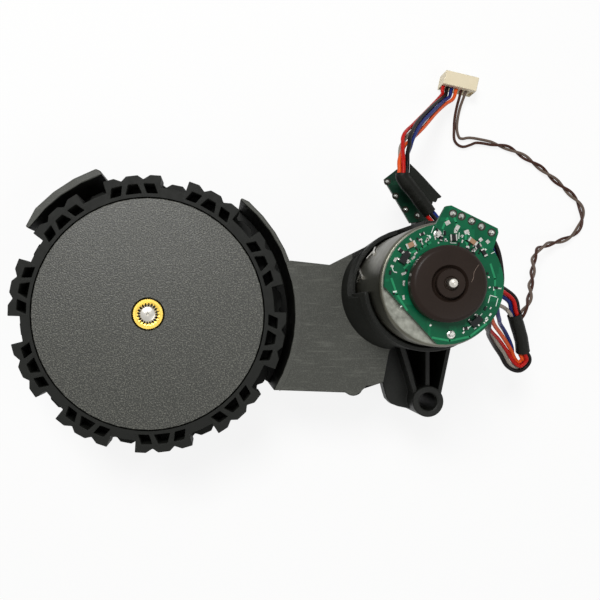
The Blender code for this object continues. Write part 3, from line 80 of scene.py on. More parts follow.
# Share of the shortest edge beside it that the rounding of an edge may take up
ROUNDING_SHARE = 0.45
# Distance at which points of a CAD solid are one, and angle in degrees at which its faces are
WELD = 0.002 * MM
FLAT = 0.5

Plan = tuple[float, float]
Point = tuple[float, float, float]
Colour = tuple[float, float, float, float]
Tree = bpy.types.NodeTree
Socket = bpy.types.NodeSocket
Piece = bpy.types.Object
Work = bmesh.types.BMesh


def linear(code: str) -> Colour:
    """Linear colour of an sRGB hex value.

    Args:
        code: Colour as "#rrggbb".

    Returns:
        Red, green and blue in linear light, and an alpha of 1.
    """
    channels = [int(code[place : place + 2], 16) / 255 for place in (1, 3, 5)]
    red, green, blue = (c / 12.92 if c <= 0.04045 else ((c + 0.055) / 1.055) ** 2.4 for c in channels)
    return (red, green, blue, 1.0)


def add_node(
    tree: Tree, kind: str, settings: dict | None = None, links: dict | None = None
) -> bpy.types.Node:
    """Add one shader node.

    Args:
        tree: Node tree to add to.
        kind: Class of the node, without its ShaderNode prefix.
        settings: Values of the node's own properties and of its inputs.
        links: Output sockets, by the input that each one feeds.

    Returns:
        The new node.
    """
    made = tree.nodes.new(f"ShaderNode{kind}")
    for name, value in (settings or {}).items():
        if isinstance(name, str) and hasattr(made, name):
            setattr(made, name, value)
        else:
            made.inputs[name].default_value = value
    for name, socket in (links or {}).items():
        tree.links.new(socket, made.inputs[name])
    return made


def blobs(tree: Tree, place: Socket, size: float, detail: float) -> Socket:
    """Noise whose blobs have about a given size."""
    return add_node(tree, "TexNoise", {"Scale": 1 / size, "Detail": detail}, {"Vector": place}).outputs["Fac"]


def remap(tree: Tree, value: Socket, start: Plan, end: Plan) -> Socket:
    """A value stretched from one range to another."""
    ranges = {"From Min": start[0], "From Max": start[1], "To Min": end[0], "To Max": end[1]}
    return add_node(tree, "MapRange", ranges, {"Value": value}).outputs["Result"]


def blend(tree: Tree, share: Socket, first: Socket | str, second: str) -> Socket:
    """A colour mixed from two.

    Args:
        tree: Node tree to add to.
        share: Share of the second colour.
        first: First colour, as a socket or as "#rrggbb".
        second: Second colour, as "#rrggbb".

    Returns:
        The mixed colour.
    """
    settings, links = {"data_type": "RGBA", MIX_SECOND: linear(second)}, {0: share}
    if isinstance(first, str):
        settings[MIX_FIRST] = linear(first)
    else:
        links[MIX_FIRST] = first
    return add_node(tree, "Mix", settings, links).outputs[MIX_COLOUR]


def new_material(name: str) -> tuple[bpy.types.Material, Tree, bpy.types.Node]:
    """Add a material, and return it with its node tree and its main shader."""
    made = bpy.data.materials.new(name)
    made.use_nodes = True
    return made, made.node_tree, made.node_tree.nodes["Principled BSDF"]


def new_object(name: str, data: bpy.types.ID) -> Piece:
    """Add an object to the scene."""
    made = bpy.data.objects.new(name, data)
    bpy.context.scene.collection.objects.link(made)
    return made


def new_mesh(name: str, work: Work) -> bpy.types.Mesh:
    """Add a mesh from one under work, which is freed."""
    made = bpy.data.meshes.new(name)
    work.to_mesh(made)
    work.free()
    return made


def metres(points: Iterable[Sequence[float]]) -> list[Vector]:
    """Points given in millimetres, as vectors in metres."""
    return [Vector(point) * MM for point in points]


def beside(corner: Plan, offsets: Iterable[Plan]) -> list[Plan]:
    """Points of a profile, given in millimetres from one of its corners."""
    return [(corner[0] + out * MM, corner[1] + up * MM) for out, up in offsets]


def heading(degrees: float) -> Vector:
    """Level unit vector at an angle from +X."""
    return Vector((math.cos(math.radians(degrees)), math.sin(math.radians(degrees)), 0.0))


def around(count: int, lead: float = 0.0) -> list[Vector]:
    """Level unit vectors all round, the first one a share of a step from +X."""
    return [heading(360.0 * (step + lead) / count) for step in range(count)]


class Lay(Enum):
    """Direction in which a metal surface was worked."""

    TURNED = "turned"
    DRAWN = "drawn"
    PLAIN = "plain"


@dataclass(frozen=True)
class Finish:
    """Surface of one real material, with the patterns that make it look like that.

    Attributes:
        name: Name of the Blender material.
        colour: Main colour.
        shade: Colour that the main one wanders towards.
        roughness: Roughness in the middle of its range.
        spread: How far the roughness wanders each way.
        mottle: Size of the colour's patches, in metres.
        grain: Size of the relief's grain, in metres.
        depth: Height of the relief, in metres.
        metallic: 1 for bare metal.
        specular: Strength of the surface reflection of a plastic.
    """

    name: str
    colour: str
    shade: str
    roughness: float
    spread: float = 0.08
    mottle: float = 6 * MM
    grain: float = 0.4 * MM
    depth: float = 0.01 * MM
    metallic: float = 0.0
    specular: float = 0.5

    def material(self) -> bpy.types.Material:
        """The finish as a Blender material, made the first time it is asked for."""
        known = bpy.data.materials.get(self.name)
        if known:
            return known
        made, tree, shader = new_material(self.name)
        shader.inputs["Metallic"].default_value = self.metallic
        shader.inputs["Specular IOR Level"].default_value = self.specular
        place = add_node(tree, "TexCoord").outputs["Object"]
        tree.links.new(self.colours(tree, place), shader.inputs["Base Color"])
        tree.links.new(self.gloss(tree, place), shader.inputs["Roughness"])
        relief = {"Distance": self.depth, "Strength": 1.0}
        bump = add_node(tree, "Bump", relief, {"Height": self.relief(tree, place)})
        tree.links.new(bump.outputs["Normal"], shader.inputs["Normal"])
        self.extras(shader)
        return made

    def colours(self, tree: Tree, place: Socket) -> Socket:
        """Colour pattern: soft patches between the main colour and the shade."""
        return blend(tree, blobs(tree, place, self.mottle, 4.0), self.colour, self.shade)

    def gloss(self, tree: Tree, place: Socket) -> Socket:
        """Roughness pattern: patches a third as large as the colour's."""
        ends = (self.roughness - self.spread, self.roughness + self.spread)
        return remap(tree, blobs(tree, place, self.mottle / 3, 3.0), (0.0, 1.0), ends)

    def relief(self, tree: Tree, place: Socket) -> Socket:
        """Height pattern: fine even grain."""
        return blobs(tree, place, self.grain, 2.0)

    def extras(self, shader: bpy.types.Node) -> None:
        """Values that only some finishes have."""


@dataclass(frozen=True)
class SparkTexture(Finish):
    """Moulded plastic from a spark-eroded mould: coarse satin grain, with pale painted glints on its tops.

    Attributes:
        glint_and_scuff: Colour of the painted glints on the grain's tops, and of the scuffs.
        glints: How strongly the painted glints show.
        tops: Heights of the grain where a painted glint starts and is full.
        scuffs: How strongly the pale scuffs of handling show.
        scuff_width: Width of a scuff, in metres.
        scuff_turn: Rotation and scale that draw the scuffs out slantwise.
        scuff_edge: Values of their noise where a scuff starts and is full.
    """

    glint_and_scuff: str = "#9a9a94"
    glints: float = 0.6
    tops: Plan = (0.48, 0.68)
    scuffs: float = 0.0
    scuff_width: float = 0.7 * MM
    scuff_turn: tuple[Point, Point] = ((0.0, 0.0, 0.7), (0.12, 1.0, 1.0))
    scuff_edge: Plan = (0.56, 0.72)

    def colours(self, tree: Tree, place: Socket) -> Socket:
        """Colour pattern: the plain one with painted pale glints on the grain's tops, and scuffs."""
        # Painted glints: pale colour where the grain's tops would catch the light
        glints = remap(tree, blobs(tree, place, self.grain, 2.0), self.tops, (0.0, self.glints))
        with_glints = blend(tree, glints, super().colours(tree, place), self.glint_and_scuff)
        if not self.scuffs:
            return with_glints
        rotation, scale = self.scuff_turn
        turned = add_node(tree, "Mapping", {"Rotation": rotation, "Scale": scale}, {"Vector": place})
        streaks = blobs(tree, turned.outputs["Vector"], self.scuff_width, 3.0)
        return blend(tree, remap(tree, streaks, self.scuff_edge, (0.0, self.scuffs)), with_glints, self.glint_and_scuff)


@dataclass(frozen=True)
class Metal(Finish):
    """Bare or plated metal, with the marks that its working left.

    Attributes:
        lay: Direction in which it was worked.
        centre: Point of the axis that it was turned about.
        draw: Scale that draws the grain out along the draw.
    """

    lay: Lay = Lay.PLAIN
    centre: Point = (0.0, 0.0, 0.0)
    draw: Point = (1.0, 1.0, 0.04)
    metallic: float = 1.0

    def relief(self, tree: Tree, place: Socket) -> Socket:
        """Height pattern: rings round the turning axis, streaks along a drawn wall, or grain."""
        if self.lay is Lay.PLAIN:
            return super().relief(tree, place)
        if self.lay is Lay.DRAWN:
            drawn = add_node(tree, "VectorMath", {"operation": "MULTIPLY", 1: self.draw}, {0: place})
            return blobs(tree, drawn.outputs["Vector"], self.grain, 3.0)
        offset = add_node(tree, "VectorMath", {"operation": "SUBTRACT", 1: self.centre}, {0: place})
        flatten = {"operation": "MULTIPLY", 1: (1.0, 1.0, 0.0)}
        flat = add_node(tree, "VectorMath", flatten, {0: offset.outputs["Vector"]})
        radius = add_node(tree, "VectorMath", {"operation": "LENGTH"}, {0: flat.outputs["Vector"]})
        rings = {"noise_dimensions": "1D", "Scale": 1 / self.grain, "Detail": 2.0}
        return add_node(tree, "TexNoise", rings, {"W": radius.outputs["Value"]}).outputs["Fac"]


@dataclass(frozen=True)
class SolderMask(Finish):
    """Green lacquer over a circuit board, paler where copper lies under it.

    Attributes:
        copper: Colour of the lacquer over copper.
        share: How strongly that colour shows.
        patch: Size of the copper areas, in metres.
        edge: Distances in their pattern where the copper starts and is full.
        coat: Weight and roughness of the clear gloss on top.
    """

    copper: str = "#1c8a5a"
    share: float = 0.16
    patch: float = 4 * MM
    edge: Plan = (0.50, 0.52)
    coat: Plan = (0.06, 0.12)

    def colours(self, tree: Tree, place: Socket) -> Socket:
        """Colour pattern: the plain one, with angular copper areas showing through."""
        cells = {"feature": "F1", "distance": "CHEBYCHEV", "Scale": 1 / self.patch}
        areas = add_node(tree, "TexVoronoi", cells, {"Vector": place}).outputs["Distance"]
        shown = remap(tree, areas, self.edge, (0.0, self.share))
        return blend(tree, shown, super().colours(tree, place), self.copper)

    def extras(self, shader: bpy.types.Node) -> None:
        """Thin clear gloss of the lacquer."""
        shader.inputs["Coat Weight"].default_value, shader.inputs["Coat Roughness"].default_value = self.coat


# Black ABS of the case, moulded and polished: near black with a soft gloss and faint painted glints
CASE_ABS = SparkTexture(
    "abs_case_satin", "#0f100e", "#161714", 0.46, 0.08, 7 * MM, 0.30 * MM, 0.012 * MM,
    specular=0.16, glint_and_scuff="#232421",
)
# The same ABS on the arm's upward faces, from a spark-eroded mould: fine grain with painted glints
# Its greyed olive, far paler than the case's black, is painted light on faces that look up to the lamps
LIT_ARM_ABS = SparkTexture(
    "abs_arm_painted_light_spark_eroded", "#3c3d37", "#2d2e29", 0.52, 0.08, 8 * MM, 0.28 * MM, 0.035 * MM,
    specular=0.32, glint_and_scuff="#5f6059", glints=0.4, scuffs=0.4,
)
# Dark grey ABS of the wheel's disc, from a spark-eroded mould: a fine even sparkle of painted glints
DISC_ABS = SparkTexture(
    "abs_disc_spark_eroded", "#282924", "#21221d", 0.41, 0.06, 18 * MM, 0.34 * MM, 0.09 * MM,
    specular=0.42, glint_and_scuff="#68685f", glints=0.8,
)
# Carbon-filled polyurethane of the tread, moulded: dull, with a grey bloom
TREAD_RUBBER = Finish(
    "polyurethane_tread_moulded", "#10110f", "#1a1b18", 0.60, 0.1, 4 * MM, 0.3 * MM, 0.02 * MM,
    specular=0.15,
)
# White acetal of the gears, moulded: waxy and smooth
GEAR_ACETAL = Finish("acetal_gear_moulded", "#e4e0d4", "#d8d3c4", 0.35, 0.05, 5 * MM, 0.5 * MM, 0.004 * MM)
# Nickel-plated steel of pins, screws and shafts: bright and a little cloudy
PLATED_STEEL = Metal("steel_nickel_plated", "#c9c6be", "#aeaba3", 0.25, 0.08, 2 * MM, 0.2 * MM, 0.003 * MM)
# Zinc-plated drawn steel of the motor can: dull olive grey, streaked along the draw
CAN_STEEL = Metal(
    "steel_can_drawn", "#6e6d61", "#45443c", 0.36, 0.08, 5 * MM, 0.25 * MM, 0.006 * MM, lay=Lay.DRAWN
)
# Rolled steel of the can's end plate: silver, mottled with dark patches
PLATE_STEEL = Metal(
    "steel_end_plate_rolled", "#a5a69c", "#45463f", 0.32, 0.12, 1.3 * MM, 0.3 * MM, 0.006 * MM
)
# Turned brass of the insert: fine rings
BRASS = Metal(
    "brass_turned", "#ecd06c", "#d9b450", 0.28, 0.06, 1.5 * MM, 0.12 * MM, 0.003 * MM, lay=Lay.TURNED
)
# Copper of the armature
COPPER = Metal("copper_wound", "#c97a50", "#a95f3a", 0.35, 0.08, 2 * MM, 0.3 * MM, 0.02 * MM)
# Tinned pads and solder: silvery and lumpy
SOLDER = Metal("solder_tin_lead_free", "#d2d2cd", "#7c7b75", 0.24, 0.12, 0.7 * MM, 0.4 * MM, 0.08 * MM)
# Bonded ferrite of the encoder magnet, turned: brown-black, with fine rings
FERRITE = Metal(
    "ferrite_bonded_turned", "#281f1a", "#211915", 0.36, 0.06, 5 * MM, 0.35 * MM, 0.006 * MM,
    lay=Lay.TURNED, centre=(*MOTOR_AXIS, 0.0), metallic=0.0, specular=0.10,
)
# The same where something has scraped it: paler and rough
FERRITE_SCRATCHED = Finish(
    "ferrite_bonded_scratched", "#6d5b50", "#4b3e36", 0.6, 0.1, 0.8 * MM, 0.2 * MM, 0.01 * MM
)
# Glass-epoxy board under green lacquer: deep green, with a thin gloss
BOARD_GREEN = SolderMask(
    "fibreglass_board_green_lacquer", "#045b3a", "#02402a", 0.30, 0.06, 3 * MM, 0.5 * MM, 0.006 * MM,
    specular=0.12,
)
# The switch's board: the same lacquer, in a darker green
SWITCH_GREEN = SolderMask(
    "fibreglass_board_dark_lacquer", "#06301f", "#041f15", 0.34, 0.08, 2 * MM, 0.5 * MM, 0.006 * MM,
    specular=0.2, copper="#0f5a3a",
)
# The same lacquer where a copper track lies under it: a paler green
TRACK_GREEN = Finish(
    "green_lacquer_over_track", "#238a5c", "#17744b", 0.3, 0.05, 1 * MM, 0.3 * MM, 0.004 * MM, specular=0.2
)
# Burnt rosin round a solder joint, with painted shade of the joint's dark foot: brown-black and glassy
FLUX_AND_JOINT_SHADE = Finish(
    "rosin_flux_and_painted_joint_shade", "#1a1a12", "#262519", 0.3, 0.1, 0.6 * MM, 0.3 * MM, 0.03 * MM, specular=0.3
)
# White legend ink on the board: flat and a little broken at the edges
LEGEND_INK = Finish(
    "legend_ink_screen_printed", "#dfe6df", "#a9bcae", 0.6, 0.05, 0.5 * MM, 0.2 * MM, 0.004 * MM
)
# Black epoxy of the chips, moulded: fine matt grain
CHIP_EPOXY = Finish(
    "epoxy_chip_moulded", "#111213", "#1d1f20", 0.45, 0.08, 0.8 * MM, 0.15 * MM, 0.006 * MM, specular=0.15
)
# Ceramic of the chip capacitors: tan and matt
CAPACITOR_CERAMIC = Finish(
    "ceramic_capacitor_fired", "#9c7757", "#7d6044", 0.5, 0.05, 0.6 * MM, 0.15 * MM, 0.004 * MM
)
# Natural nylon of the connector, moulded: cream, slightly waxy
CONNECTOR_NYLON = Finish(
    "nylon_connector_natural", "#e6dabe", "#dccfaf", 0.45, 0.06, 3 * MM, 0.3 * MM, 0.006 * MM
)
# Shrunk polyolefin sleeve: satin black with long wrinkles
SLEEVE_POLYOLEFIN = Finish(
    "polyolefin_sleeve_shrunk", "#0b0c09", "#13140f", 0.5, 0.1, 3 * MM, 1.1 * MM, 0.16 * MM, specular=0.13
)
# Cloth tape folded on itself: matt black, threads showing
CLOTH_TAPE = Finish(
    "cloth_tape_black", "#1d1f1c", "#12140f", 0.75, 0.08, 2 * MM, 0.45 * MM, 0.06 * MM, specular=0.12
)


class WireColour(Enum):
    """PVC wire insulation, extruded: smooth, semi-gloss, a little dirty."""

    RED = ("#c81f18", "#9c1410")
    ORANGE = ("#e8602a", "#c9481a")
    WHITE = ("#a9a196", "#857c71")
    BLUE = ("#1c2f7c", "#14204f")
    BLACK = ("#0b0808", "#171111")
    BROWN = ("#4a2c21", "#35201a")
    GREY = ("#75655b", "#54483f")

    def finish(self) -> Finish:
        """Finish of this colour of insulation."""
        name = f"pvc_insulation_{self.name.lower()}"
        return Finish(name, *self.value, 0.34, 0.08, 3 * MM, 0.6 * MM, 0.008 * MM, specular=0.1)


def sharp(edge: bmesh.types.BMEdge, degrees: float) -> bool:
    """Whether an edge joins two faces at an angle or more."""
    return len(edge.link_faces) == 2 and edge.calc_face_angle(0.0) >= math.radians(degrees)


def smooth(mesh: bpy.types.Mesh) -> None:
    """Shade a mesh smooth, apart from its sharp and open edges."""
    work = bmesh.new()
    work.from_mesh(mesh)
    for face in work.faces:
        face.smooth = True
    for edge in work.edges:
        edge.smooth = len(edge.link_faces) == 2 and not sharp(edge, SHADED_SHARP)
    work.to_mesh(mesh)
    work.free()


def soften(piece: Piece, radius: float, inner: float = 0.0) -> None:
    """Round a piece's sharp edges, less where the edges beside them are short.

    Args:
        piece: Object to round.
        radius: Width of the rounding, in metres.
        inner: Distance from the wheel's axis inside which edges stay sharp.
    """
    work = bmesh.new()
    work.from_mesh(piece.data)
    layers = work.edges.layers.float
    weight = layers.get("bevel_weight_edge") or layers.new("bevel_weight_edge")
    for edge in work.edges:
        if sharp(edge, ROUNDED) and any(spot.co.xy.length > inner for spot in edge.verts):
            room = min(near.calc_length() for spot in edge.verts for near in spot.link_edges)
            edge[weight] = min(1.0, ROUNDING_SHARE * room / radius)
    work.to_mesh(piece.data)
    work.free()
    bevel = piece.modifiers.new("rounded_edges", "BEVEL")
    bevel.width = radius
    bevel.segments = 2
    bevel.limit_method = "WEIGHT"
    bevel.use_clamp_overlap = False
    bevel.miter_outer = "MITER_ARC"
    even = piece.modifiers.new("even_shading", "WEIGHTED_NORMAL")
    even.keep_sharp = True


def add_piece(
    name: str, work: Work, finishes: Finish | Sequence[Finish], body: str, node: str = ""
) -> Piece:
    """Turn a mesh under work into a piece that rides on a body.

    Args:
        name: Name of the piece.
        work: Mesh under work, which is freed.
        finishes: Its finish, or one for each material index.
        body: CAD body that it moves with.
        node: CAD node that it stands for, if any.

    Returns:
        The new object.
    """
    bmesh.ops.recalc_face_normals(work, faces=work.faces)
    mesh = new_mesh(name, work)
    for finish in [finishes] if isinstance(finishes, Finish) else finishes:
        mesh.materials.append(finish.material())
    smooth(mesh)
    piece = new_object(name, mesh)
    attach(piece, body)
    if node:
        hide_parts(node)
    LOG.info("piece %s on %s: %d faces", name, body, len(mesh.polygons))
    return piece


def softened(node: str, finish: Finish, radius: float, inner: float = 0.0) -> Piece:
    """Stand-in for a CAD solid with its flat faces joined and its sharp edges rounded.

    Args:
        node: CAD node that the piece stands for.
        finish: Finish of the piece.
        radius: Width of the rounding, in metres.
        inner: Distance from the wheel's axis inside which edges stay sharp.

    Returns:
        The new piece.
    """
    solid = frame["nodes"][node]
    work = bmesh.new()
    work.from_mesh(solid.data)
    bmesh.ops.remove_doubles(work, verts=work.verts, dist=WELD)
    bmesh.ops.dissolve_limit(work, angle_limit=math.radians(FLAT), verts=work.verts, edges=work.edges)
    bmesh.ops.triangulate(work, faces=[face for face in work.faces if len(face.verts) > 4])
    for face in work.faces:
        face.material_index = 0
    piece = add_piece(f"{node}_form", work, finish, solid["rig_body"], node)
    soften(piece, radius, inner)
    return piece


def paint(finish: Finish, *nodes: str) -> None:
    """Give CAD nodes that stay their finish."""
    for node in nodes:
        for slot in frame["nodes"][node].material_slots:
            slot.material = finish.material()
        LOG.info("node %s: %s", node, finish.name)


def through(points: Sequence[Vector], steps: int) -> list[Vector]:
    """Points of a smooth curve through the given ones.

    Args:
        points: Points that the curve passes through.
        steps: New points in each span.

    Returns:
        The curve's points, both ends included.
    """
    ends = [2 * points[0] - points[1], *points, 2 * points[-1] - points[-2]]
    made = []
    for before, start, end, after in zip(ends, ends[1:], ends[2:], ends[3:]):
        for step in range(steps):
            t = step / steps
            square = 2 * before - 5 * start + 4 * end - after
            cube = 3 * start - before - 3 * end + after
            made.append(0.5 * (2 * start + (end - before) * t + square * t**2 + cube * t**3))
    made.append(points[-1].copy())
    return made


def tangents(path: Sequence[Vector]) -> list[Vector]:
    """Directions along a path, one at each point."""
    pairs = zip([path[0], *path[:-1]], [*path[1:], path[-1]])
    return [(after - before).normalized() for before, after in pairs]


def across(path: Sequence[Vector]) -> list[tuple[Vector, Vector]]:
    """The level and the rising direction across a path, at each of its points."""
    level = [Vector((forward.y, -forward.x, 0.0)).normalized() for forward in tangents(path)]
    return [(right, right.cross(forward)) for right, forward in zip(level, tangents(path))]


def ring(work: Work, centre: Vector, radii: Sequence[float], height: float, lead: float = 0.0) -> list:
    """Add a level ring of vertices.

    Args:
        work: Mesh to add to.
        centre: Point under the ring's middle.
        radii: Distance of each vertex from the middle.
        height: Height over that point.
        lead: Share of a step by which the first vertex is turned from +X.

    Returns:
        The vertices in order, anticlockwise.
    """
    middle = centre + Vector((0.0, 0.0, height))
    return [work.verts.new(middle + way * radius) for radius, way in zip(radii, around(len(radii), lead))]


def loft(
    work: Work, rings: Sequence[Sequence], index: int = 0, closed: bool = True, capped: bool = False
) -> None:
    """Add the faces between rows of vertices, each row joined to the next.

    Args:
        work: Mesh to add to.
        rings: Rows of vertices, all as long; one vertex over and over makes a tip.
        index: Material index of the faces.
        closed: Whether each row runs round to its first vertex.
        capped: Whether a face closes the first and the last row.
    """
    for low, high in zip(rings, rings[1:]):
        for step in range(len(low) if closed else len(low) - 1):
            after = (step + 1) % len(low)
            corners = list(dict.fromkeys((low[step], low[after], high[after], high[step])))
            work.faces.new(corners).material_index = index
    if capped:
        work.faces.new(rings[0][::-1]).material_index = index
        work.faces.new(rings[-1]).material_index = index


def add_tube(
    work: Work, path: Sequence[Vector], radii: float | Sequence[float], sides: int = 12, index: int = 0,
    capped: bool = True,
) -> None:
    """Add a round tube along a path.

    Args:
        work: Mesh to add to.
        path: Middle line of the tube.
        radii: Radius of the tube, or one at each point of the path.
        sides: Faces round the tube.
        index: Material index of its faces.
        capped: Whether its ends are closed.
    """
    if isinstance(radii, float):
        radii = [radii] * len(path)
    normal = tangents(path)[0].orthogonal().normalized()
    rings = []
    for point, along, radius in zip(path, tangents(path), radii):
        normal = (normal - along * normal.dot(along)).normalized()
        side = along.cross(normal)
        ways = [normal * way.x + side * way.y for way in around(sides)]
        rings.append([work.verts.new(point + radius * way) for way in ways])
    loft(work, rings, index, capped=capped)


def add_turned(
    work: Work, centre: Vector, profile: Sequence[Plan], segments: int = 32, index: int = 0
) -> None:
    """Add a solid of revolution about a vertical axis, from a profile that starts and ends on the axis.

    Args:
        work: Mesh to add to.
        centre: Point of the axis from which heights count.
        profile: Radius and height of each point; a radius of 0 only at the ends.
        segments: Faces round the axis.
        index: Material index of its faces.
    """
    rings = []
    for radius, height in profile:
        if radius == 0.0:
            rings.append(ring(work, centre, [0.0], height) * segments)
        else:
            rings.append(ring(work, centre, [radius] * segments, height))
    loft(work, rings, index)


def add_prism(
    work: Work, outline: Sequence[Plan], bottom: float, top: float, index: int = 0, bevel: float = 0.0
) -> None:
    """Add an upright prism, with its top edge drawn in by a bevel.

    Args:
        work: Mesh to add to.
        outline: Plan of the prism, in metres.
        bottom: Height of its bottom.
        top: Height of its top.
        index: Material index of its faces.
        bevel: How far its top edge is drawn in.
    """
    middle = Vector((sum(x for x, _ in outline) / len(outline), sum(y for _, y in outline) / len(outline)))
    levels = [(bottom, 0.0), (top - bevel, 0.0)] + ([(top, bevel)] if bevel else [])
    rings = []
    for height, inset in levels:
        corners = [Vector(corner) for corner in outline]
        drawn = [corner + (middle - corner).normalized() * inset for corner in corners]
        rings.append([work.verts.new((corner.x, corner.y, height)) for corner in drawn])
    loft(work, rings, index, capped=True)


def turned_box(centre: Plan, length: float, width: float, degrees: float = 0.0) -> list[Plan]:
    """Corners of a rectangle turned about its middle.

    Args:
        centre: Middle of the rectangle.
        length: Its size along its own first direction.
        width: Its size across that.
        degrees: Angle of the first direction from +X.

    Returns:
        The four corners, anticlockwise.
    """
    along, side = heading(degrees).xy, heading(degrees + 90.0).xy
    signs = ((-1, -1), (1, -1), (1, 1), (-1, 1))
    corners = [Vector(centre) + along * (a * length / 2) + side * (b * width / 2) for a, b in signs]
    return [(corner.x, corner.y) for corner in corners]


def carve(piece: Piece, tools: Work) -> None:
    """Cut a mesh out of a piece.

    Args:
        piece: Object to cut.
        tools: Closed shapes to take away, which are freed.
    """
    bmesh.ops.recalc_face_normals(tools, faces=tools.faces)
    cutter = new_object("tools", new_mesh("tools", tools))
    opened = piece.modifiers.new("opened", "BOOLEAN")
    opened.object = cutter
    opened.solver = "EXACT"
    bpy.context.view_layer.update()
    graph = bpy.context.evaluated_depsgraph_get()
    cut = bpy.data.meshes.new_from_object(piece.evaluated_get(graph))
    piece.modifiers.clear()
    piece.data = cut
    smooth(cut)
    bpy.data.objects.remove(cutter)


def box_corners(node: str) -> tuple[Vector, Vector]:
    """Lowest and highest corner of a CAD node, in metres."""
    solid = frame["nodes"][node]
    spots = [solid.matrix_world @ vertex.co for vertex in solid.data.vertices]
    return tuple(Vector([pick(spot[axis] for spot in spots) for axis in range(3)]) for pick in (min, max))


def by_motor(place: Sequence[float], height: float) -> Vector:
    """Point given in millimetres from the motor's axis, at a height in metres."""
    return Vector((MOTOR_AXIS[0] + place[0] * MM, MOTOR_AXIS[1] + place[1] * MM, height))


@dataclass
class Studio:
    """Camera, soft lights, pale floor and white surroundings.

    Attributes:
        camera_place: Where the camera stands.
        camera_turn: Its rotation.
        lens: Its focal length in millimetres, for a sensor of the width below.
        sensor: Width of its sensor.
        near: Distance from which it sees.
        shift: How far its picture is shifted, in widths of the picture.
        floor_size: Length of the floor's side.
        floor_level: Height of the floor.
        floor_glow: Share of the floor's light that is its own, where it is looked at.
        lamps: Name, place, side and power in watts of each softbox.
        aim: Point that the softboxes face.
        sky_strength: Strength of the light from all round.
    """

    camera_place: Point = (17.02 * MM, 0.19 * MM, 210.4 * MM)
    camera_turn: Point = (-0.0066, -0.0346, -0.0003)
    lens: float = 42.26
    sensor: float = 36.0
    near: float = 0.01
    shift: Plan = (0.1, 0.03)
    floor_size: float = 3.0
    floor_level: float = -0.2 * MM
    floor_glow: float = 0.86
    lamps: Sequence[tuple[str, Point, float, float]] = (
        ("softbox_key", (-0.07, 0.2, 0.45), 0.16, 1.75),
        ("softbox_fill", (0.30, -0.22, 0.46), 0.35, 0.7),
    )
    aim: Point = (0.045, 0.0, 0.02)
    sky_strength: float = 0.22

    def add_camera(self) -> None:
        """Add the camera, at the photograph's viewing angle."""
        data = bpy.data.cameras.new("camera")
        data.lens = self.lens
        data.sensor_width = self.sensor
        data.shift_x, data.shift_y = self.shift
        data.clip_start = self.near
        camera = new_object("camera", data)
        camera.location = self.camera_place
        camera.rotation_euler = self.camera_turn
        bpy.context.scene.camera = camera

    def add_lamps(self) -> None:
        """Add the square softboxes, all facing the middle of the module."""
        for name, place, size, power in self.lamps:
            data = bpy.data.lights.new(name, "AREA")
            data.size = size
            data.energy = power
            lamp = new_object(name, data)
            lamp.location = place
            lamp.rotation_euler = (Vector(self.aim) - Vector(place)).to_track_quat("-Z", "Y").to_euler()

    def looked_at(self, tree: Tree) -> Socket:
        """1 where the camera sees a surface, straight or mirrored, and 0 where it only lights others."""
        rays = add_node(tree, "LightPath").outputs
        both = {0: rays["Is Camera Ray"], 1: rays["Is Glossy Ray"]}
        return add_node(tree, "Math", {"operation": "MAXIMUM"}, both).outputs["Value"]

    def add_floor(self) -> None:
        """Add the pale floor, which keeps the module's soft shadow and turns white away from it."""
        work = bmesh.new()
        sheet = turned_box((0.0, 0.0), self.floor_size, self.floor_size)
        add_prism(work, sheet, self.floor_level - MM, self.floor_level)
        floor = new_object("floor", new_mesh("floor", work))
        # White paper sweep: flat and even, and bright enough to melt into the background
        material, tree, shader = new_material("paper_sweep_white")
        shader.inputs["Base Color"].default_value = linear("#f4f4f2")
        shader.inputs["Roughness"].default_value = 0.9
        shader.inputs["Specular IOR Level"].default_value = 0.2
        dimmed = {"operation": "MULTIPLY", 1: self.floor_glow}
        share = add_node(tree, "Math", dimmed, {0: self.looked_at(tree)}).outputs["Value"]
        glow = add_node(tree, "Emission", {"Color": linear("#ffffff"), "Strength": 1.0}).outputs["Emission"]
        both = add_node(tree, "MixShader", None, {0: share, 1: shader.outputs["BSDF"], 2: glow})
        tree.links.new(both.outputs["Shader"], tree.nodes["Material Output"].inputs["Surface"])
        floor.data.materials.append(material)

    def add_sky(self) -> None:
        """Light the module from all round, and stand white behind it."""
        world = bpy.data.worlds.new("studio")
        bpy.context.scene.world = world
        world.use_nodes = True
        tree = world.node_tree
        tree.nodes.clear()
        skies = {0: self.looked_at(tree)}
        for place, strength in ((1, self.sky_strength), (2, 1.0)):
            white = {"Color": linear("#ffffff"), "Strength": strength}
            skies[place] = add_node(tree, "Background", white).outputs["Background"]
        both = add_node(tree, "MixShader", None, skies)
        add_node(tree, "OutputWorld", None, {"Surface": both.outputs["Shader"]})

    def build(self) -> None:
        """Set up everything that isn't the module."""
        bpy.context.scene.view_settings.view_transform = "Standard"
        self.add_camera()
        self.add_floor()
        self.add_lamps()
        self.add_sky()


@dataclass(frozen=True)
class Stretch:
    """One stretch of the five wires between two things that hold them.

    Attributes:
        name: Name of the piece.
        node: CAD node that it stands for.
        route: Middle line of the bundle, in millimetres.
        lays: For each wire, its offset beside and above the middle line at each point of the
            route, in wire pitches.
    """

    name: str
    node: str
    route: Sequence[Point]
    lays: dict[WireColour, Sequence[Plan]]


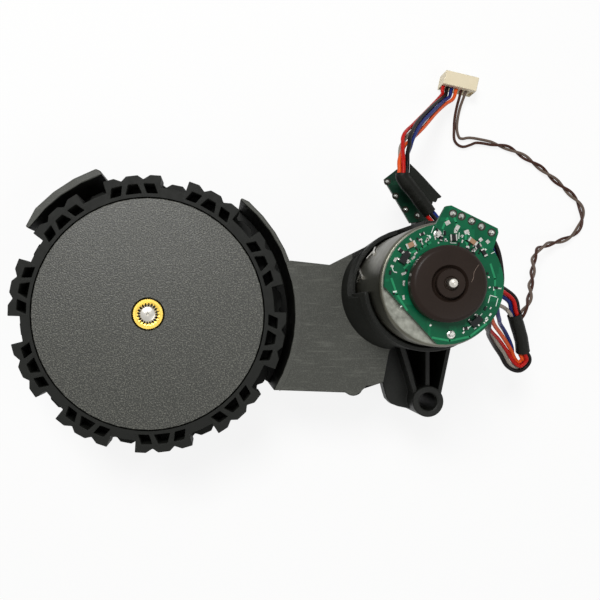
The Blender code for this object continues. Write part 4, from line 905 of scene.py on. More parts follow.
HARNESS = Stretch(
    "wires_to_connector",
    "harness",
    (
        (65.0, 37.1, 30.95), (65.2, 39.1, 30.7), (65.8, 41.4, 29.5), (66.8, 44.0, 28), (68.1, 46.7, 26),
        (72.3, 51.6, 20.5), (78.7, 57.9, 13), (83.1, 61.8, 7.4), (85.4, 64.1, 4.6), (86.0, 66.1, 4.2),
    ),
    {
        WireColour.RED: (
            (0, 0.85), (-0.21, 0.85), (-0.63, 0.7), (-1.2, 0.56), (-1.41, 0.28),
            (-0.92, -0.63), (-0.92, -0.77), (-1.3, -0.4), (-1.6, 0), (-1.8, 0),
        ),
        WireColour.ORANGE: (
            (-0.81, 0.26), (-0.92, 0.07), (-0.63, -0.35), (-0.35, -0.07), (0.63, -0.99),
            (1.34, -0.21), (1.06, -0.21), (1.0, 0.2), (1.5, 0.4), (1.7, 0.2),
        ),
        WireColour.WHITE: (
            (-0.5, -0.69), (-0.49, -0.85), (-0.5, -1.34), (-1.0, -0.9), (-0.49, -0.9),
            (0.07, -0.8), (0.07, -0.8), (0.14, -0.9), (-0.3, -0.9), (-0.5, -0.9),
        ),
        WireColour.BLUE: (
            (0.5, -0.69), (0.56, -0.63), (0.77, -0.35), (0.99, -0.21), (0.92, 0.28),
            (0.35, 0.49), (0.2, 0.49), (0.1, 0.5), (0.4, 0.3), (0.5, 0),
        ),
        WireColour.BLACK: (
            (1.0, 0.2), (0.9, 0.4), (0.55, 0.7), (0.42, 0.7), (-0.07, 0.7),
            (-0.7, 0.56), (-0.77, 0.28), (-0.77, 0.42), (-0.7, 0.3), (-0.7, 0),
        ),
    },
)
CROSSING = Stretch(
    "wires_behind_motor",
    "harness_crossing",
    (
        (72.7, 25.4, 29.95), (74.4, 23.5, 30.4), (79.2, 18.8, 36), (82.2, 14.9, 40.6), (83.7, 11.4, 41.3),
        (85.1, 7.6, 38), (88.7, 4.9, 31.5), (94.2, 3.3, 27.3), (95.9, 0.5, 26.2),
    ),
    {
        WireColour.RED: (
            (0.81, 0.3), (0.81, 0.3), (0.81, 0.3), (0.5, 0.7), (-0.1, 0.7),
            (-1.0, 0.6), (-1.8, 0.6), (-0.7, 0.8), (-0.4, 0.7),
        ),
        WireColour.ORANGE: (
            (-0.5, -0.69), (-0.5, -0.69), (-0.5, -0.69), (-0.8, -0.3), (-0.8, -0.1),
            (-1.2, -0.4), (-2.0, -0.4), (-1.0, -0.3), (-0.7, -0.4),
        ),
        WireColour.WHITE: (
            (0.5, -0.69), (0.5, -0.69), (0.5, -0.69), (0.8, -0.3), (1.1, 0.2),
            (1.1, 0.1), (1.5, 0.15), (1.9, 0.2), (0.9, 0.26),
        ),
        WireColour.BLUE: (
            (-0.81, 0.26), (-0.81, 0.26), (-0.81, 0.26), (-0.3, -0.8), (0.4, -0.65),
            (0.1, -0.4), (-0.8, -0.1), (0.1, 0.2), (0.3, -0.3),
        ),
        WireColour.BLACK: (
            (0, 0.85), (0, 0.85), (0, 0.85), (-0.8, 0.6), (-1.4, 0.3),
            (-2.0, 0.1), (-2.7, 0.2), (-1.7, 0.3), (-1.2, 0.25),
        ),
    },
)
RETURN = Stretch(
    "wires_up_to_board",
    "harness_return",
    (
        (100.5, -10.7, 21.85), (101.3, -12.6, 21.3), (99.7, -14.3, 21), (97.3, -13.2, 21.4),
        (95.0, -10.1, 23.2), (91.5, -6.6, 27), (87.6, -3.3, 33), (85.5, -0.4, 40), (84.7, 3.7, 46),
        (84.0, 8.1, 50.5),
        (82.7, 11.6, 52.6), (80.5, 15.2, 54), (77.7, 18.1, 55), (74.2, 20.2, 55.4),
    ),
    {
        WireColour.RED: (
            (0, 0.85), (0.1, 0.85), (0.15, 0.8), (0.45, 0.7), (0.25, 0.5), (-0.05, 0.3), (-0.8, -0.1),
            (-1.6, -0.1), (-2.1, 0), (-2.2, 0), (-2.0, 0), (-1.7, 0.2), (-1.9, 0.5), (-2.3, 0.9),
        ),
        WireColour.ORANGE: (
            (0.81, 0.26), (0.85, 0.2), (0.95, 0.1), (1.25, 0.3), (1.15, 0.7), (0.9, 0.9), (0.4, 0.7),
            (-0.8, -0.2), (-2.0, -1), (-2.2, -1), (-2.0, -1), (-1.6, -0.7), (-1.5, -0.4), (-1.7, 0),
        ),
        WireColour.WHITE: (
            (-0.5, -0.69), (-0.45, -0.7), (-0.4, -0.7), (-0.4, 0.1), (-0.6, 0.3), (-0.85, 0.2), (-1.2, -0.4),
            (-1.8, -1.2), (-2.1, -1.9), (-2.2, -2), (-2.0, -2), (-1.4, -1.5), (-0.8, -0.8), (-0.6, 0),
        ),
        WireColour.BLUE: (
            (0.5, -0.69), (0.45, -0.75), (0.4, -0.8), (1.0, -0.7), (2.0, 0.0), (2.3, 0.2), (1.8, 0.5),
            (0.4, 0.9), (-1.4, 1), (-2.2, 1), (-2.0, 1), (-1.5, 1.1), (-1.2, 1.1), (-1.2, 1.1),
        ),
        WireColour.BLACK: (
            (-0.81, 0.26), (-1.1, 0.1), (-1.1, 0.0), (-1.25, 0.0), (-1.45, 0.0), (-1.65, 0.0), (-1.9, 0.5),
            (-2.1, 1.3), (-2.2, 1.9), (-2.2, 2), (-2.0, 1.9), (-1.2, 1.7), (-0.4, 1.2), (-0.1, 1.1),
        ),
    },
)


@dataclass
class Harness:
    """Wires, sleeves, tape, twisted pair and connector.

    Attributes:
        overrun: How far wires run on straight into what holds them.
        pair_straight: Points of the pair's route before its twist starts.
        pair_spread: Half the distance between its wires at each of those points, in millimetres.
        pair_touch: The same where it is twisted, in wire radii.
        sleeve_waves: How closely a sleeve's bulges follow each other, per metre.
        tape_grid: Faces across the tape's end and along it.
        tape_tear: Step and row of the noise that its ragged cut follows.
        tape_waves: Turns of its curl across it and along it, in radians.
        cavity: Width of a wire's cavity in the connector, and its depth both ways from the face.
        cavity_walls: What is left under a cavity and over it; side_recess and its walls are alike.
    """

    body: str = "gearbox"
    wire_radius: float = 0.52 * MM
    wire_pitch: float = 1.12 * MM
    bundle_diameter: float = 3.2 * MM
    steps: int = 8
    overrun: float = 1.6 * MM
    pair_radius: float = 0.41 * MM
    pair_diameter: float = 1.6 * MM
    pair_twist: float = 12.0 * MM
    pair_straight: int = 9
    pair_touch: float = 1.12
    pair_spread: Sequence[float] = (0.7, 0.6, 0.5, 0.45, 0.45, 0.85, 1.2, 1.1, 0.6)
    pair_route: Sequence[Point] = (
        (90.2, 65.5, 4), (89.9, 63.9, 3.2), (89.5, 61.6, 2), (89.1, 58.4, 1.2), (89.0, 55.1, 1),
        (89.5, 52.4, 1), (91.1, 51.4, 1), (93.2, 51.8, 1), (95.6, 52.0, 1), (100.2, 51.2, 1),
        (105.4, 49.8, 1), (110.0, 47.3, 1), (114.7, 44.2, 1), (119.0, 40.7, 1), (123.7, 36.7, 1),
        (126.8, 33.3, 1), (127.8, 29.3, 1), (126.1, 25.1, 1.2), (122.2, 22.5, 2), (116.5, 20.9, 4),
        (111.3, 18.9, 7.5), (108.3, 15.5, 11), (106.4, 11.8, 14.6), (103.8, 7.6, 19), (101.6, 3.8, 23),
        (99.0, 0.9, 25.8), (97.7, -1.6, 25.6),
    )
    sleeve_radius: float = 1.8 * MM
    sleeve_wall: float = 0.25 * MM
    sleeve_steps: int = 12
    sleeve_waves: float = 420.0
    sleeve_left: Sequence[Point] = (
        (65.0, 35.9, 31), (65.2, 34.7, 31), (68.1, 31.3, 30.6), (70.9, 27.9, 30.1), (72.3, 26.1, 29.9),
    )
    sleeve_right: Sequence[Point] = (
        (96.2, -0.1, 26), (97.5, -3.1, 25.1), (99.2, -6.8, 23.6), (100.3, -10.1, 22.1),
    )
    tape_corners: Sequence[Plan] = ((67.2, 38.9), (66.9, 34.1), (72.0, 27.9), (75.6, 30.4))
    tape_level: float = 29.7 * MM
    tape_grid: tuple[int, int] = (10, 18)
    tape_ragged: float = 0.5 * MM
    tape_tear: Plan = (0.9, 3.1)
    tape_curl: float = 0.25 * MM
    tape_waves: Plan = (2.0, 5.0)
    tape_thickness: float = 0.2 * MM
    connector_size: Point = (10.0 * MM, 4.1 * MM, 6.0 * MM)
    connector_face: Point = (88.5 * MM, 66.3 * MM, 0.3 * MM)
    connector_turn: float = -12.7
    connector_edge: float = 0.2 * MM
    ways: int = 7
    cavity: Plan = (1.0 * MM, 1.6 * MM)
    cavity_shift: float = -0.1 * MM
    cavity_walls: Plan = (0.9 * MM, 1.6 * MM)
    side_recess: Plan = (1.2 * MM, 1.9 * MM)
    side_walls: Plan = (1.6 * MM, 1.8 * MM)

    def curve(self, route: Sequence[Point]) -> list[Vector]:
        """Smooth path of a route, run on straight at both ends into what holds the wires."""
        path = through(metres(route), self.steps)
        first = path[0] + (path[0] - path[1]).normalized() * self.overrun
        last = path[-1] + (path[-1] - path[-2]).normalized() * self.overrun
        return [first, *path, last]

    def eased(self, values: Iterable[Sequence[float]]) -> list[Vector]:
        """Values at the points of a route, as one value at each point of its curve."""
        made = through([Vector(value) for value in values], self.steps)
        return [made[0], *made, made[-1]]

    def add_stretch(self, stretch: Stretch) -> Piece:
        """Add the five wires of a stretch as one piece, each along its own line in the bundle."""
        path = self.curve(stretch.route)
        work = bmesh.new()
        for index, lay in enumerate(stretch.lays.values()):
            offsets = self.eased((*offset, 0.0) for offset in lay)
            line = [
                point + self.wire_pitch * (right * offset.x + up * offset.y)
                for point, (right, up), offset in zip(path, across(path), offsets)
            ]
            add_tube(work, line, self.wire_radius, index=index)
        finishes = [colour.finish() for colour in stretch.lays]
        return add_piece(stretch.name, work, finishes, self.body, stretch.node)

    def declare(
        self, piece: Piece, route: Sequence[Point], diameter: float,
        flip: bool = False,
    ) -> None:
        """Log a cord's length along its route.

        Args:
            piece: Object of the cord.
            route: Its middle line, in millimetres.
            diameter: Its diameter; not used.
            flip: Whether it leaves the object at the route's last point.
        """
        path = self.curve(route)
        if flip:
            path.reverse()
        length = sum((b - a).length for a, b in zip(path, path[1:]))
        LOG.info("cord %s: %.1f mm", piece.name, length / MM)
        tuple(path[0])
        [tuple(point) for point in path]

    def add_pair(self) -> Piece:
        """Add the thin brown and grey pair: open near the connector, then twisted."""
        path = self.curve(self.pair_route)
        twisted = len(self.pair_route) - len(self.pair_spread)
        widths = [*self.pair_spread, *[self.pair_touch * self.pair_radius / MM] * twisted]
        spread = self.eased((width, 0.0, 0.0) for width in widths)
        work = bmesh.new()
        for index, side in enumerate((1.0, -1.0)):
            line = []
            phase = 0.0
            for number, (point, (right, up)) in enumerate(zip(path, across(path))):
                if number > self.pair_straight * self.steps:
                    phase += 2 * math.pi * (point - path[number - 1]).length / self.pair_twist
                out = right * math.cos(phase) + up * math.sin(phase)
                line.append(point + out * (side * spread[number].x * MM))
            add_tube(work, line, self.pair_radius, sides=10, index=index)
        finishes = [WireColour.BROWN.finish(), WireColour.GREY.finish()]
        return add_piece("twisted_pair_wires", work, finishes, self.body, "twisted_pair")

    def add_sleeve(self, node: str, route: Sequence[Point], bulge: float) -> Piece:
        """Add a shrunk sleeve: a thin open tube, uneven where it grips the wires.

        Args:
            node: CAD node that it stands for.
            route: Its middle line, in millimetres.
            bulge: How uneven it is, as a share of its radius.

        Returns:
            The piece.
        """
        path = through(metres(route), self.sleeve_steps)
        outer = [self.sleeve_radius * (1 + bulge * noise.noise(point * self.sleeve_waves)) for point in path]
        inner = [radius - self.sleeve_wall for radius in outer]
        work = bmesh.new()
        add_tube(work, [*path, *path[::-1]], [*outer, *inner[::-1]], sides=20, capped=False)
        return add_piece(f"{node}_tube", work, SLEEVE_POLYOLEFIN, self.body, node)

    def add_tape(self) -> Piece:
        """Add the tape's folded free end, slightly curled, with a ragged cut."""
        first, second, third, fourth = metres((*corner, 0.0) for corner in self.tape_corners)
        columns, rows = self.tape_grid
        work = bmesh.new()
        lines = []
        for row in range(rows + 1):
            share = row / rows
            left, right = first.lerp(fourth, share), second.lerp(third, share)
            line = []
            for column in range(columns + 1):
                spot = left.lerp(right, column / columns)
                tear = noise.noise(Vector((column * self.tape_tear[0], self.tape_tear[1], 0.0)))
                ragged = tear * self.tape_ragged if row == rows else 0.0
                wave = math.sin(share * self.tape_waves[1] + column / columns * self.tape_waves[0])
                height = self.tape_level + self.tape_curl * wave
                line.append(work.verts.new((spot.x + ragged, spot.y - ragged, height)))
            lines.append(line)
        loft(work, lines, closed=False)
        piece = add_piece("tape_fold", work, CLOTH_TAPE, self.body, "tape_flag")
        thick = piece.modifiers.new("thickness", "SOLIDIFY")
        thick.thickness = self.tape_thickness
        thick.offset = 0.0
        return piece

    def add_connector(self) -> Piece:
        """Add the plug's housing, with a row of wire cavities and a recess in its side."""
        length, depth, height = self.connector_size
        work = bmesh.new()
        add_prism(work, turned_box((0.0, depth / 2), length, depth), 0.0, height)
        tools = bmesh.new()
        under, over = self.cavity_walls
        for number in range(self.ways):
            middle = (length * ((number + 0.5) / self.ways - 0.5), self.cavity_shift)
            add_prism(tools, turned_box(middle, *self.cavity), under, height - over)
        under, over = self.side_walls
        add_prism(tools, turned_box((length / 2, depth / 2), *self.side_recess), under, height - over)
        turn = Matrix.Rotation(math.radians(self.connector_turn), 4, "Z")
        place = Matrix.Translation(self.connector_face) @ turn
        work.transform(place)
        tools.transform(place)
        piece = add_piece("connector_housing", work, CONNECTOR_NYLON, self.body, "connector")
        carve(piece, tools)
        soften(piece, self.connector_edge)
        return piece

    def build(self) -> None:
        """Add the wiring, the cords first."""
        bundle = self.add_stretch(HARNESS)
        crossing = self.add_stretch(CROSSING)
        back = self.add_stretch(RETURN)
        pair = self.add_pair()
        left = self.add_sleeve("sleeve_left", self.sleeve_left, 0.12)
        right = self.add_sleeve("sleeve_right", self.sleeve_right, 0.10)
        tape = self.add_tape()
        connector = self.add_connector()
        self.declare(bundle, HARNESS.route, self.bundle_diameter)
        self.declare(crossing, CROSSING.route, self.bundle_diameter)
        self.declare(back, RETURN.route, self.bundle_diameter)
        self.declare(pair, self.pair_route, self.pair_diameter, flip=True)


@dataclass
class Gearbox:
    """Moulded gear case with its cover and screws.

    Attributes:
        recess_size: Length and width of a screw's cross.
        recess_depth: Depth of the cross.
        lip: Distances from the wheel's axis where the raised lip starts and ends.
        lip_rises: Its heights over the arm's face at those distances.
        lip_angles: Directions in which it starts and ends.
        mark_shifts: Offsets of the mould mark's two short ridges.
        mark_ridge: Length, width and angle of a ridge.
        mark_levels: Heights of its bottom and top over the arm's face.
        head_rim: Share of a screw head's radius that is flat, and height of the bevel round it.
        screw_turn: Angle by which each screw's cross is turned from the last one's.
        facing: Upward part of a face's normal from which the face has the arm's paler finish, of painted
            light.
        skirt: Radius and height of each point of the skirt's profile, in millimetres.
        skirt_foot: Radius of the cup inside the skirt, in millimetres.
        skirt_least: Share of the skirt's full size at its ends.
        skirt_swell: Power of the curve along which it grows from there.
        notch_angle: Direction up to which the skirt is cut off at notch_height, in millimetres.
    """

    edge: float = 0.3 * MM
    arm_face: float = 29.6 * MM
    arm_end: float = 62.0 * MM
    arm_drop: float = 10.0 * MM
    cup_reach: float = 17.5 * MM
    facing: float = 0.25
    ejector_marks: Sequence[Plan] = (
        (-22.0, 0.0), (0.0, 23.0), (12.0, -21.0), (20.0, 12.0), (44.0, 8.0), (56.0, -13.0),
    )
    ejector_radius: float = 2.2 * MM
    mark_depth: float = 0.15 * MM
    screws: int = 6
    head: Plan = (1.9 * MM, 1.0 * MM)
    head_rim: Plan = (0.82, 0.25 * MM)
    screw_turn: float = 20.0
    shank: Plan = (0.85 * MM, 0.4 * MM)
    recess_size: Plan = (2.2 * MM, 0.5 * MM)
    recess_depth: float = 0.55 * MM
    lip: Plan = (37.65 * MM, 39.0 * MM)
    lip_rises: Plan = (0.02 * MM, 0.14 * MM)
    lip_angles: Plan = (-30.5, 19.5)
    lip_depth: float = 0.2 * MM
    lip_steps: int = 24
    mould_mark: Plan = (49.3 * MM, 9.9 * MM)
    mark_shifts: Sequence[float] = (-0.55 * MM, 0.35 * MM)
    mark_ridge: Point = (0.8 * MM, 0.35 * MM, 70.0)
    mark_levels: Plan = (-0.05 * MM, 0.16 * MM)
    mark_edge: float = 0.05 * MM
    skirt: Sequence[Plan] = (
        (17.5, 0.02), (17.3, 0.35), (17.0, 1.2), (16.5, 4.0), (15.8, 9.0), (15.2, 13.5), (15.0, 14.0),
        (15.0, -0.2),
    )
    skirt_foot: float = 15.0
    skirt_sunk: float = 0.2 * MM
    skirt_least: float = 0.12
    skirt_swell: float = 0.35
    skirt_angles: Plan = (146.0, 256.0)
    skirt_steps: int = 56
    notch_angle: float = 188.0
    notch_height: float = 3.4

    def add_case(self) -> None:
        """Add the case, with its arm's upward faces in a paler finish that paints the light on them."""
        case = softened("gear_case", CASE_ABS, self.edge)
        case.data.materials.append(LIT_ARM_ABS.material())
        for face in case.data.polygons:
            spot = face.center
            on_arm = spot.x < self.arm_end and (spot.xy - Vector(MOTOR_AXIS)).length > self.cup_reach
            # Upward faces of the arm get the paler finish: painted light
            if on_arm and face.normal.z > self.facing and spot.z > self.arm_face - self.arm_drop:
                face.material_index = 1

    def add_lip(self) -> None:
        """Add the raised lip and the mould mark on the arm's face."""
        work = bmesh.new()
        start, end = self.lip_angles
        ways = [heading(start + (end - start) * step / self.lip_steps) for step in range(self.lip_steps + 1)]
        rows = []
        for radius, rise in zip(self.lip, self.lip_rises):
            level = Vector((0.0, 0.0, self.arm_face + rise))
            rows.append([work.verts.new(way * radius + level) for way in ways])
        loft(work, rows[::-1], closed=False)
        raised = bmesh.ops.extrude_face_region(work, geom=list(work.faces))
        moved = [item for item in raised["geom"] if isinstance(item, bmesh.types.BMVert)]
        bmesh.ops.translate(work, verts=moved, vec=(0.0, 0.0, -self.lip_depth))
        x, y = self.mould_mark
        low, high = (self.arm_face + level for level in self.mark_levels)
        for shift in self.mark_shifts:
            ridge = turned_box((x + shift * 0.2, y + shift), *self.mark_ridge)
            add_prism(work, ridge, low, high, bevel=self.mark_edge)
        # The lip and the mark have the arm's paler finish, with its painted light
        add_piece("arm_lip_and_mark", work, LIT_ARM_ABS, "gearbox")

    def add_skirt(self) -> None:
        """Add the tapered skirt with which the motor's cup grows out of the arm's face."""
        start, end = self.skirt_angles
        work = bmesh.new()
        rows = []
        for step in range(self.skirt_steps + 1):
            turn = start + (end - start) * step / self.skirt_steps
            swell = math.sin(math.pi * step / self.skirt_steps) ** self.skirt_swell
            share = self.skirt_least + (1 - self.skirt_least) * swell
            tallest = self.notch_height if turn < self.notch_angle else math.inf
            row = []
            for radius, full_height in self.skirt:
                height = min(full_height, tallest)
                out = self.skirt_foot + (radius - self.skirt_foot) * share
                rise = height * share if height > 0 else height
                row.append(work.verts.new(by_motor(heading(turn) * out, self.arm_face + rise * MM)))
            low = work.verts.new((row[0].co.x, row[0].co.y, self.arm_face - self.skirt_sunk))
            rows.append([*row, low])
        loft(work, rows, capped=True)
        add_piece("cup_foot_skirt", work, CASE_ABS, "gearbox")

    def add_cover(self) -> None:
        """Add the back cover with the shallow round marks of the mould's ejector pins."""
        cover = softened("back_cover", CASE_ABS, self.edge)
        cover.modifiers.clear()
        tools = bmesh.new()
        radius, depth = self.ejector_radius, MM + self.mark_depth
        for spot in metres((*mark, -1.0) for mark in self.ejector_marks):
            add_turned(tools, spot, ((0.0, 0.0), (radius, 0.0), (radius, depth), (0.0, depth)), 24)
        carve(cover, tools)
        soften(cover, self.mark_depth)

    def cross(self, middle: Vector, turn: float) -> list[Plan]:
        """Outline of a screw's cross recess.

        Args:
            middle: The screw's middle.
            turn: Angle of one arm from +X, in degrees.

        Returns:
            Twelve corners in order.
        """
        reach, half = (size / 2 for size in self.recess_size)
        spots = []
        for quarter in range(4):
            along, side = heading(turn + 90.0 * quarter), heading(turn + 90.0 * (quarter + 1))
            spots += [middle + along * x + side * y for x, y in ((reach, -half), (reach, half), (half, half))]
        return [(spot.x, spot.y) for spot in spots]

    def add_screws(self) -> None:
        """Add the cover's cross recessed screws."""
        (radius, height), (flat, bevel), (shank, tip) = self.head, self.head_rim, self.shank
        rim = ((0.0, 0.0), (radius * flat, 0.0), (radius, bevel), (radius, height), (shank, height))
        for number in range(1, self.screws + 1):
            node = f"cover_screw_{number}"
            low, high = box_corners(node)
            middle = (low + high) / 2
            length = high.z - low.z
            work = bmesh.new()
            foot = Vector((middle.x, middle.y, low.z))
            add_turned(work, foot, (*rim, (shank, length - tip), (0.0, length)), 24)
            piece = add_piece(f"{node}_crosshead", work, PLATED_STEEL, "gearbox", node)
            tools = bmesh.new()
            outline = self.cross(middle, self.screw_turn * number)
            add_prism(tools, outline, low.z - MM, low.z + self.recess_depth)
            carve(piece, tools)

    def build(self) -> None:
        """Add the whole gearbox."""
        self.add_case()
        self.add_lip()
        self.add_skirt()
        self.add_cover()
        self.add_screws()
        paint(GEAR_ACETAL, "output_gear", "compound_gear_1", "compound_gear_2")
        paint(PLATED_STEEL, "axle_bearing", "gear_pin_1", "gear_pin_2", "motor_screw_1", "motor_screw_2")
        paint(BRASS, "axle_bush", "pinion")


@dataclass
class Wheel:
    """Disc, tyre, knurled brass insert and splined axle end.

    Attributes:
        insert: Radius and length of the insert.
        knurls: Number of grooves in its rim, each of knurl_depth.
        groove: Inner and outer radius of the groove in its face.
        teeth: Number of splines in its bore, and on the axle.
        bore: Radii between which the bore's splines stand; the axle's are alike.
        axle_tip: Radius of each edge of the axle's end, and its height over the end, in millimetres.
        journal: Radius of the axle's plain part.
    """

    body: str = "wheel"
    face: float = 32.6 * MM
    insert: Plan = (3.85 * MM, 8.6 * MM)
    knurls: int = 44
    knurl_depth: float = 0.08 * MM
    groove: Plan = (2.98 * MM, 3.16 * MM)
    groove_depth: float = 0.1 * MM
    groove_slant: float = 0.04 * MM
    teeth: int = 20
    bore: Plan = (2.42 * MM, 2.80 * MM)
    bore_edge: float = 0.05 * MM
    axle: Plan = (2.3 * MM, 2.0 * MM)
    axle_end: float = 33.2 * MM
    axle_tip: Sequence[Plan] = ((1.85, -0.12), (1.62, 0.0), (0.42, 0.0), (0.12, -0.25))
    axle_chamfer: float = 0.45 * MM
    journal: float = 3.0 * MM
    disc_edge: float = 0.15 * MM
    tread_edge: float = 0.16 * MM
    tread_foot: float = 30.4 * MM

    def add_insert(self) -> None:
        """Add the insert: a knurled rim, a turned groove and a splined bore."""
        work = bmesh.new()
        outer, length = self.insert
        places = range(self.knurls * 4)
        knurl = [outer - (self.knurl_depth if place % 4 >= 2 else 0.0) for place in places]
        bore = [self.bore[place * self.teeth * 2 // len(places) % 2] for place in places]
        chamfered = [radius - self.knurl_depth for radius in knurl]
        bottom, low = self.face - length, self.face - self.groove_depth
        inside, outside = self.groove
        sections = [(knurl, bottom), (knurl, self.face - self.knurl_depth), (chamfered, self.face)]
        turned = (
            (outside, self.face), (outside - self.groove_slant, low), (inside + self.groove_slant, low),
            (inside, self.face),
        )
        sections += [([radius] * len(places), height) for radius, height in turned]
        sections += [(bore, self.face - self.bore_edge), (bore, bottom)]
        rings = [ring(work, Vector(), radii, height) for radii, height in sections]
        loft(work, [*rings, rings[0]])
        add_piece("knurled_insert", work, BRASS, self.body, "hub_insert")

    def add_axle_end(self) -> None:
        """Add the axle's splined end, with its chamfered and centred face."""
        low, _ = box_corners("axle")
        work = bmesh.new()
        bottom = self.face - self.insert[1]
        places = range(self.teeth * 4)
        spline = [self.axle[place % 4 // 2] for place in places]
        sections = [(spline, bottom), (spline, self.axle_end - self.axle_chamfer)]
        for radius, height in beside((0.0, self.axle_end), self.axle_tip):
            sections.append(([radius] * len(places), height))
        rings = [ring(work, Vector(), radii, height, 0.5) for radii, height in sections]
        loft(work, rings, capped=True)
        length = bottom - low.z
        plain = ((0.0, 0.0), (self.journal, 0.0), (self.journal, length), (0.0, length))
        add_turned(work, Vector((0.0, 0.0, low.z)), plain, 48)
        add_piece("splined_axle", work, PLATED_STEEL, self.body, "axle")

    def build(self) -> None:
        """Add the whole wheel."""
        softened("wheel_hub", DISC_ABS, self.disc_edge)
        softened("tyre", TREAD_RUBBER, self.tread_edge, self.tread_foot)
        self.add_insert()
        self.add_axle_end()


@dataclass
class Motor:
    """Brushed motor in its cup, with the encoder's magnet on its shaft.

    Attributes:
        boss: Radius and length of the bearing's boss under the can.
        levels: Heights of the can's bottom and top; the plate's and the magnet's are alike.
        hub: Radius of the magnet's hub, and of the dish round it.
        hub_rise: How far the hub stands over the magnet's face.
        scratch: Points of the scratch on the magnet, in millimetres from the motor's axis.
        crimps: Direction and height in millimetres of each stamped ear.
        crimp_strokes: Lines of an ear, in degrees round the can and millimetres up.
    """

    radius: float = 13.85 * MM
    levels: Plan = (16.9 * MM, 57.0 * MM)
    boss: Plan = (3.0 * MM, 2.6 * MM)
    plate_radius: float = 13.3 * MM
    plate_levels: Plan = (56.3 * MM, 57.2 * MM)
    magnet_radius: float = 8.3 * MM
    magnet_levels: Plan = (59.4 * MM, 62.4 * MM)
    hub: Plan = (3.05 * MM, 4.0 * MM)
    hub_rise: float = 0.85 * MM
    shaft_chamfer: float = 0.25 * MM
    centre_mark: Plan = (0.3 * MM, 0.15 * MM)
    scratch: Sequence[Plan] = ((4.6, 0.3), (5.0, 1.2), (5.1, 2.2), (5.7, 3.4), (6.2, 4.0))
    scratch_radius: float = 0.07 * MM
    crimps: Sequence[Plan] = ((141.0, 38.5), (165.5, 35.5))
    crimp_strokes: Sequence[Sequence[Plan]] = (
        ((-7.0, -3.4), (0.0, 0.0), (4.5, 3.4)), ((0.0, 0.0), (7.5, -2.4)),
    )
    crimp_radius: float = 0.5 * MM

    def add_can(self) -> None:
        """Add the drawn can, rounded at both ends, and the plate rolled into its mouth."""
        work = bmesh.new()
        radius, rise = self.boss
        length = self.levels[1] - self.levels[0]
        foot = beside((self.radius, rise), ((-1.0, 0.0), (-0.3, 0.3), (0.0, 1.0)))
        mouth = beside((self.radius, length), ((0.0, -1.2), (-0.12, -0.6), (-0.45, -0.12), (-0.8, 0.0)))
        wall = ((0.0, 0.0), (radius, 0.0), (radius, rise), *foot, *mouth, (0.0, length))
        add_turned(work, by_motor(ON_AXIS, self.levels[0]), wall, 96)
        add_piece("motor_can_drawn", work, CAN_STEEL, "gearbox", "motor_can")
        work = bmesh.new()
        low, high = self.plate_levels
        rim = beside((self.plate_radius, high - low), ((0.0, -0.15), (-0.2, 0.0)))
        plate = ((0.0, 0.0), (self.plate_radius, 0.0), *rim, (0.0, high - low))
        add_turned(work, by_motor(ON_AXIS, low), plate, 96)
        add_piece("motor_end_plate", work, PLATE_STEEL, "gearbox", "motor_end_bell")

    def add_crimps(self) -> None:
        """Add the bright stamped ears on the can's wall, just inside the cup's rim."""
        work = bmesh.new()
        for direction, height in self.crimps:
            for stroke in self.crimp_strokes:
                path = []
                for turn, up in stroke:
                    out = heading(direction + turn) * self.radius
                    path.append(by_motor(ON_AXIS, (height + up) * MM) + out)
                path = through(path, 4) if len(path) > 2 else path
                add_tube(work, path, self.crimp_radius, sides=8)
        add_piece("can_crimps", work, PLATED_STEEL, "gearbox")

    def add_magnet(self) -> None:
        """Add the encoder magnet: a chamfered disc, dished round its raised hub."""
        low, high = self.magnet_levels
        inner, outer = self.hub
        height = high - low
        top = height + self.hub_rise
        foot = beside((self.magnet_radius, 0.0), ((-0.15, 0.0), (0.0, 0.15)))
        rim = beside((self.magnet_radius, height), ((0.0, -0.75), (-0.3, -0.35), (-0.85, -0.05), (-1.1, 0.0)))
        dish = beside((inner, height), ((0.35, -0.75), (0.1, -0.8), (0.02, -0.7)))
        edge = beside((inner, top), ((0.0, -0.12), (-0.12, 0.0)))
        mouth = beside((0.0, top), ((1.6, 0.0), (1.35, -0.3), (0.0, -0.3)))
        work = bmesh.new()
        profile = ((0.0, 0.0), *foot, *rim, (outer, height), *dish, *edge, *mouth)
        add_turned(work, by_motor(ON_AXIS, low), profile, 96)
        scratch = through([by_motor(place, high) for place in self.scratch], 4)
        add_tube(work, scratch, self.scratch_radius, sides=6, index=1)
        finishes = (FERRITE, FERRITE_SCRATCHED)
        add_piece("encoder_magnet", work, finishes, "rotor", "magnet_disc")

    def add_shaft(self) -> None:
        """Add the shaft, chamfered at its ends, with a centre mark in its tip."""
        low, high = box_corners("motor_shaft")
        radius, length, chamfer = (high.x - low.x) / 2, high.z - low.z, self.shaft_chamfer
        mark, depth = self.centre_mark
        profile = (
            (0.0, 0.0), (radius - chamfer, 0.0), (radius, chamfer), (radius, length - 2 * chamfer),
            (radius - chamfer, length), (mark, length), (0.0, length - depth),
        )
        work = bmesh.new()
        add_turned(work, by_motor(ON_AXIS, low.z), profile)
        add_piece("motor_shaft_turned", work, PLATED_STEEL, "rotor", "motor_shaft")

    def build(self) -> None:
        """Add the motor."""
        self.add_can()
        self.add_crimps()
        self.add_magnet()
        self.add_shaft()
        paint(COPPER, "armature", "commutator")
        paint(FERRITE, "motor_magnet_1", "motor_magnet_2")


@dataclass(frozen=True)
class Component:
    """One surface mounted part, with solder at both ends.

    Attributes:
        place: Its middle, in millimetres from the motor's axis.
        size: Length, width and height in millimetres.
        turn: Angle of its length from +X.
        finish: Index of its body's finish in the board's list.
    """

    place: Plan
    size: Point
    turn: float
    finish: int


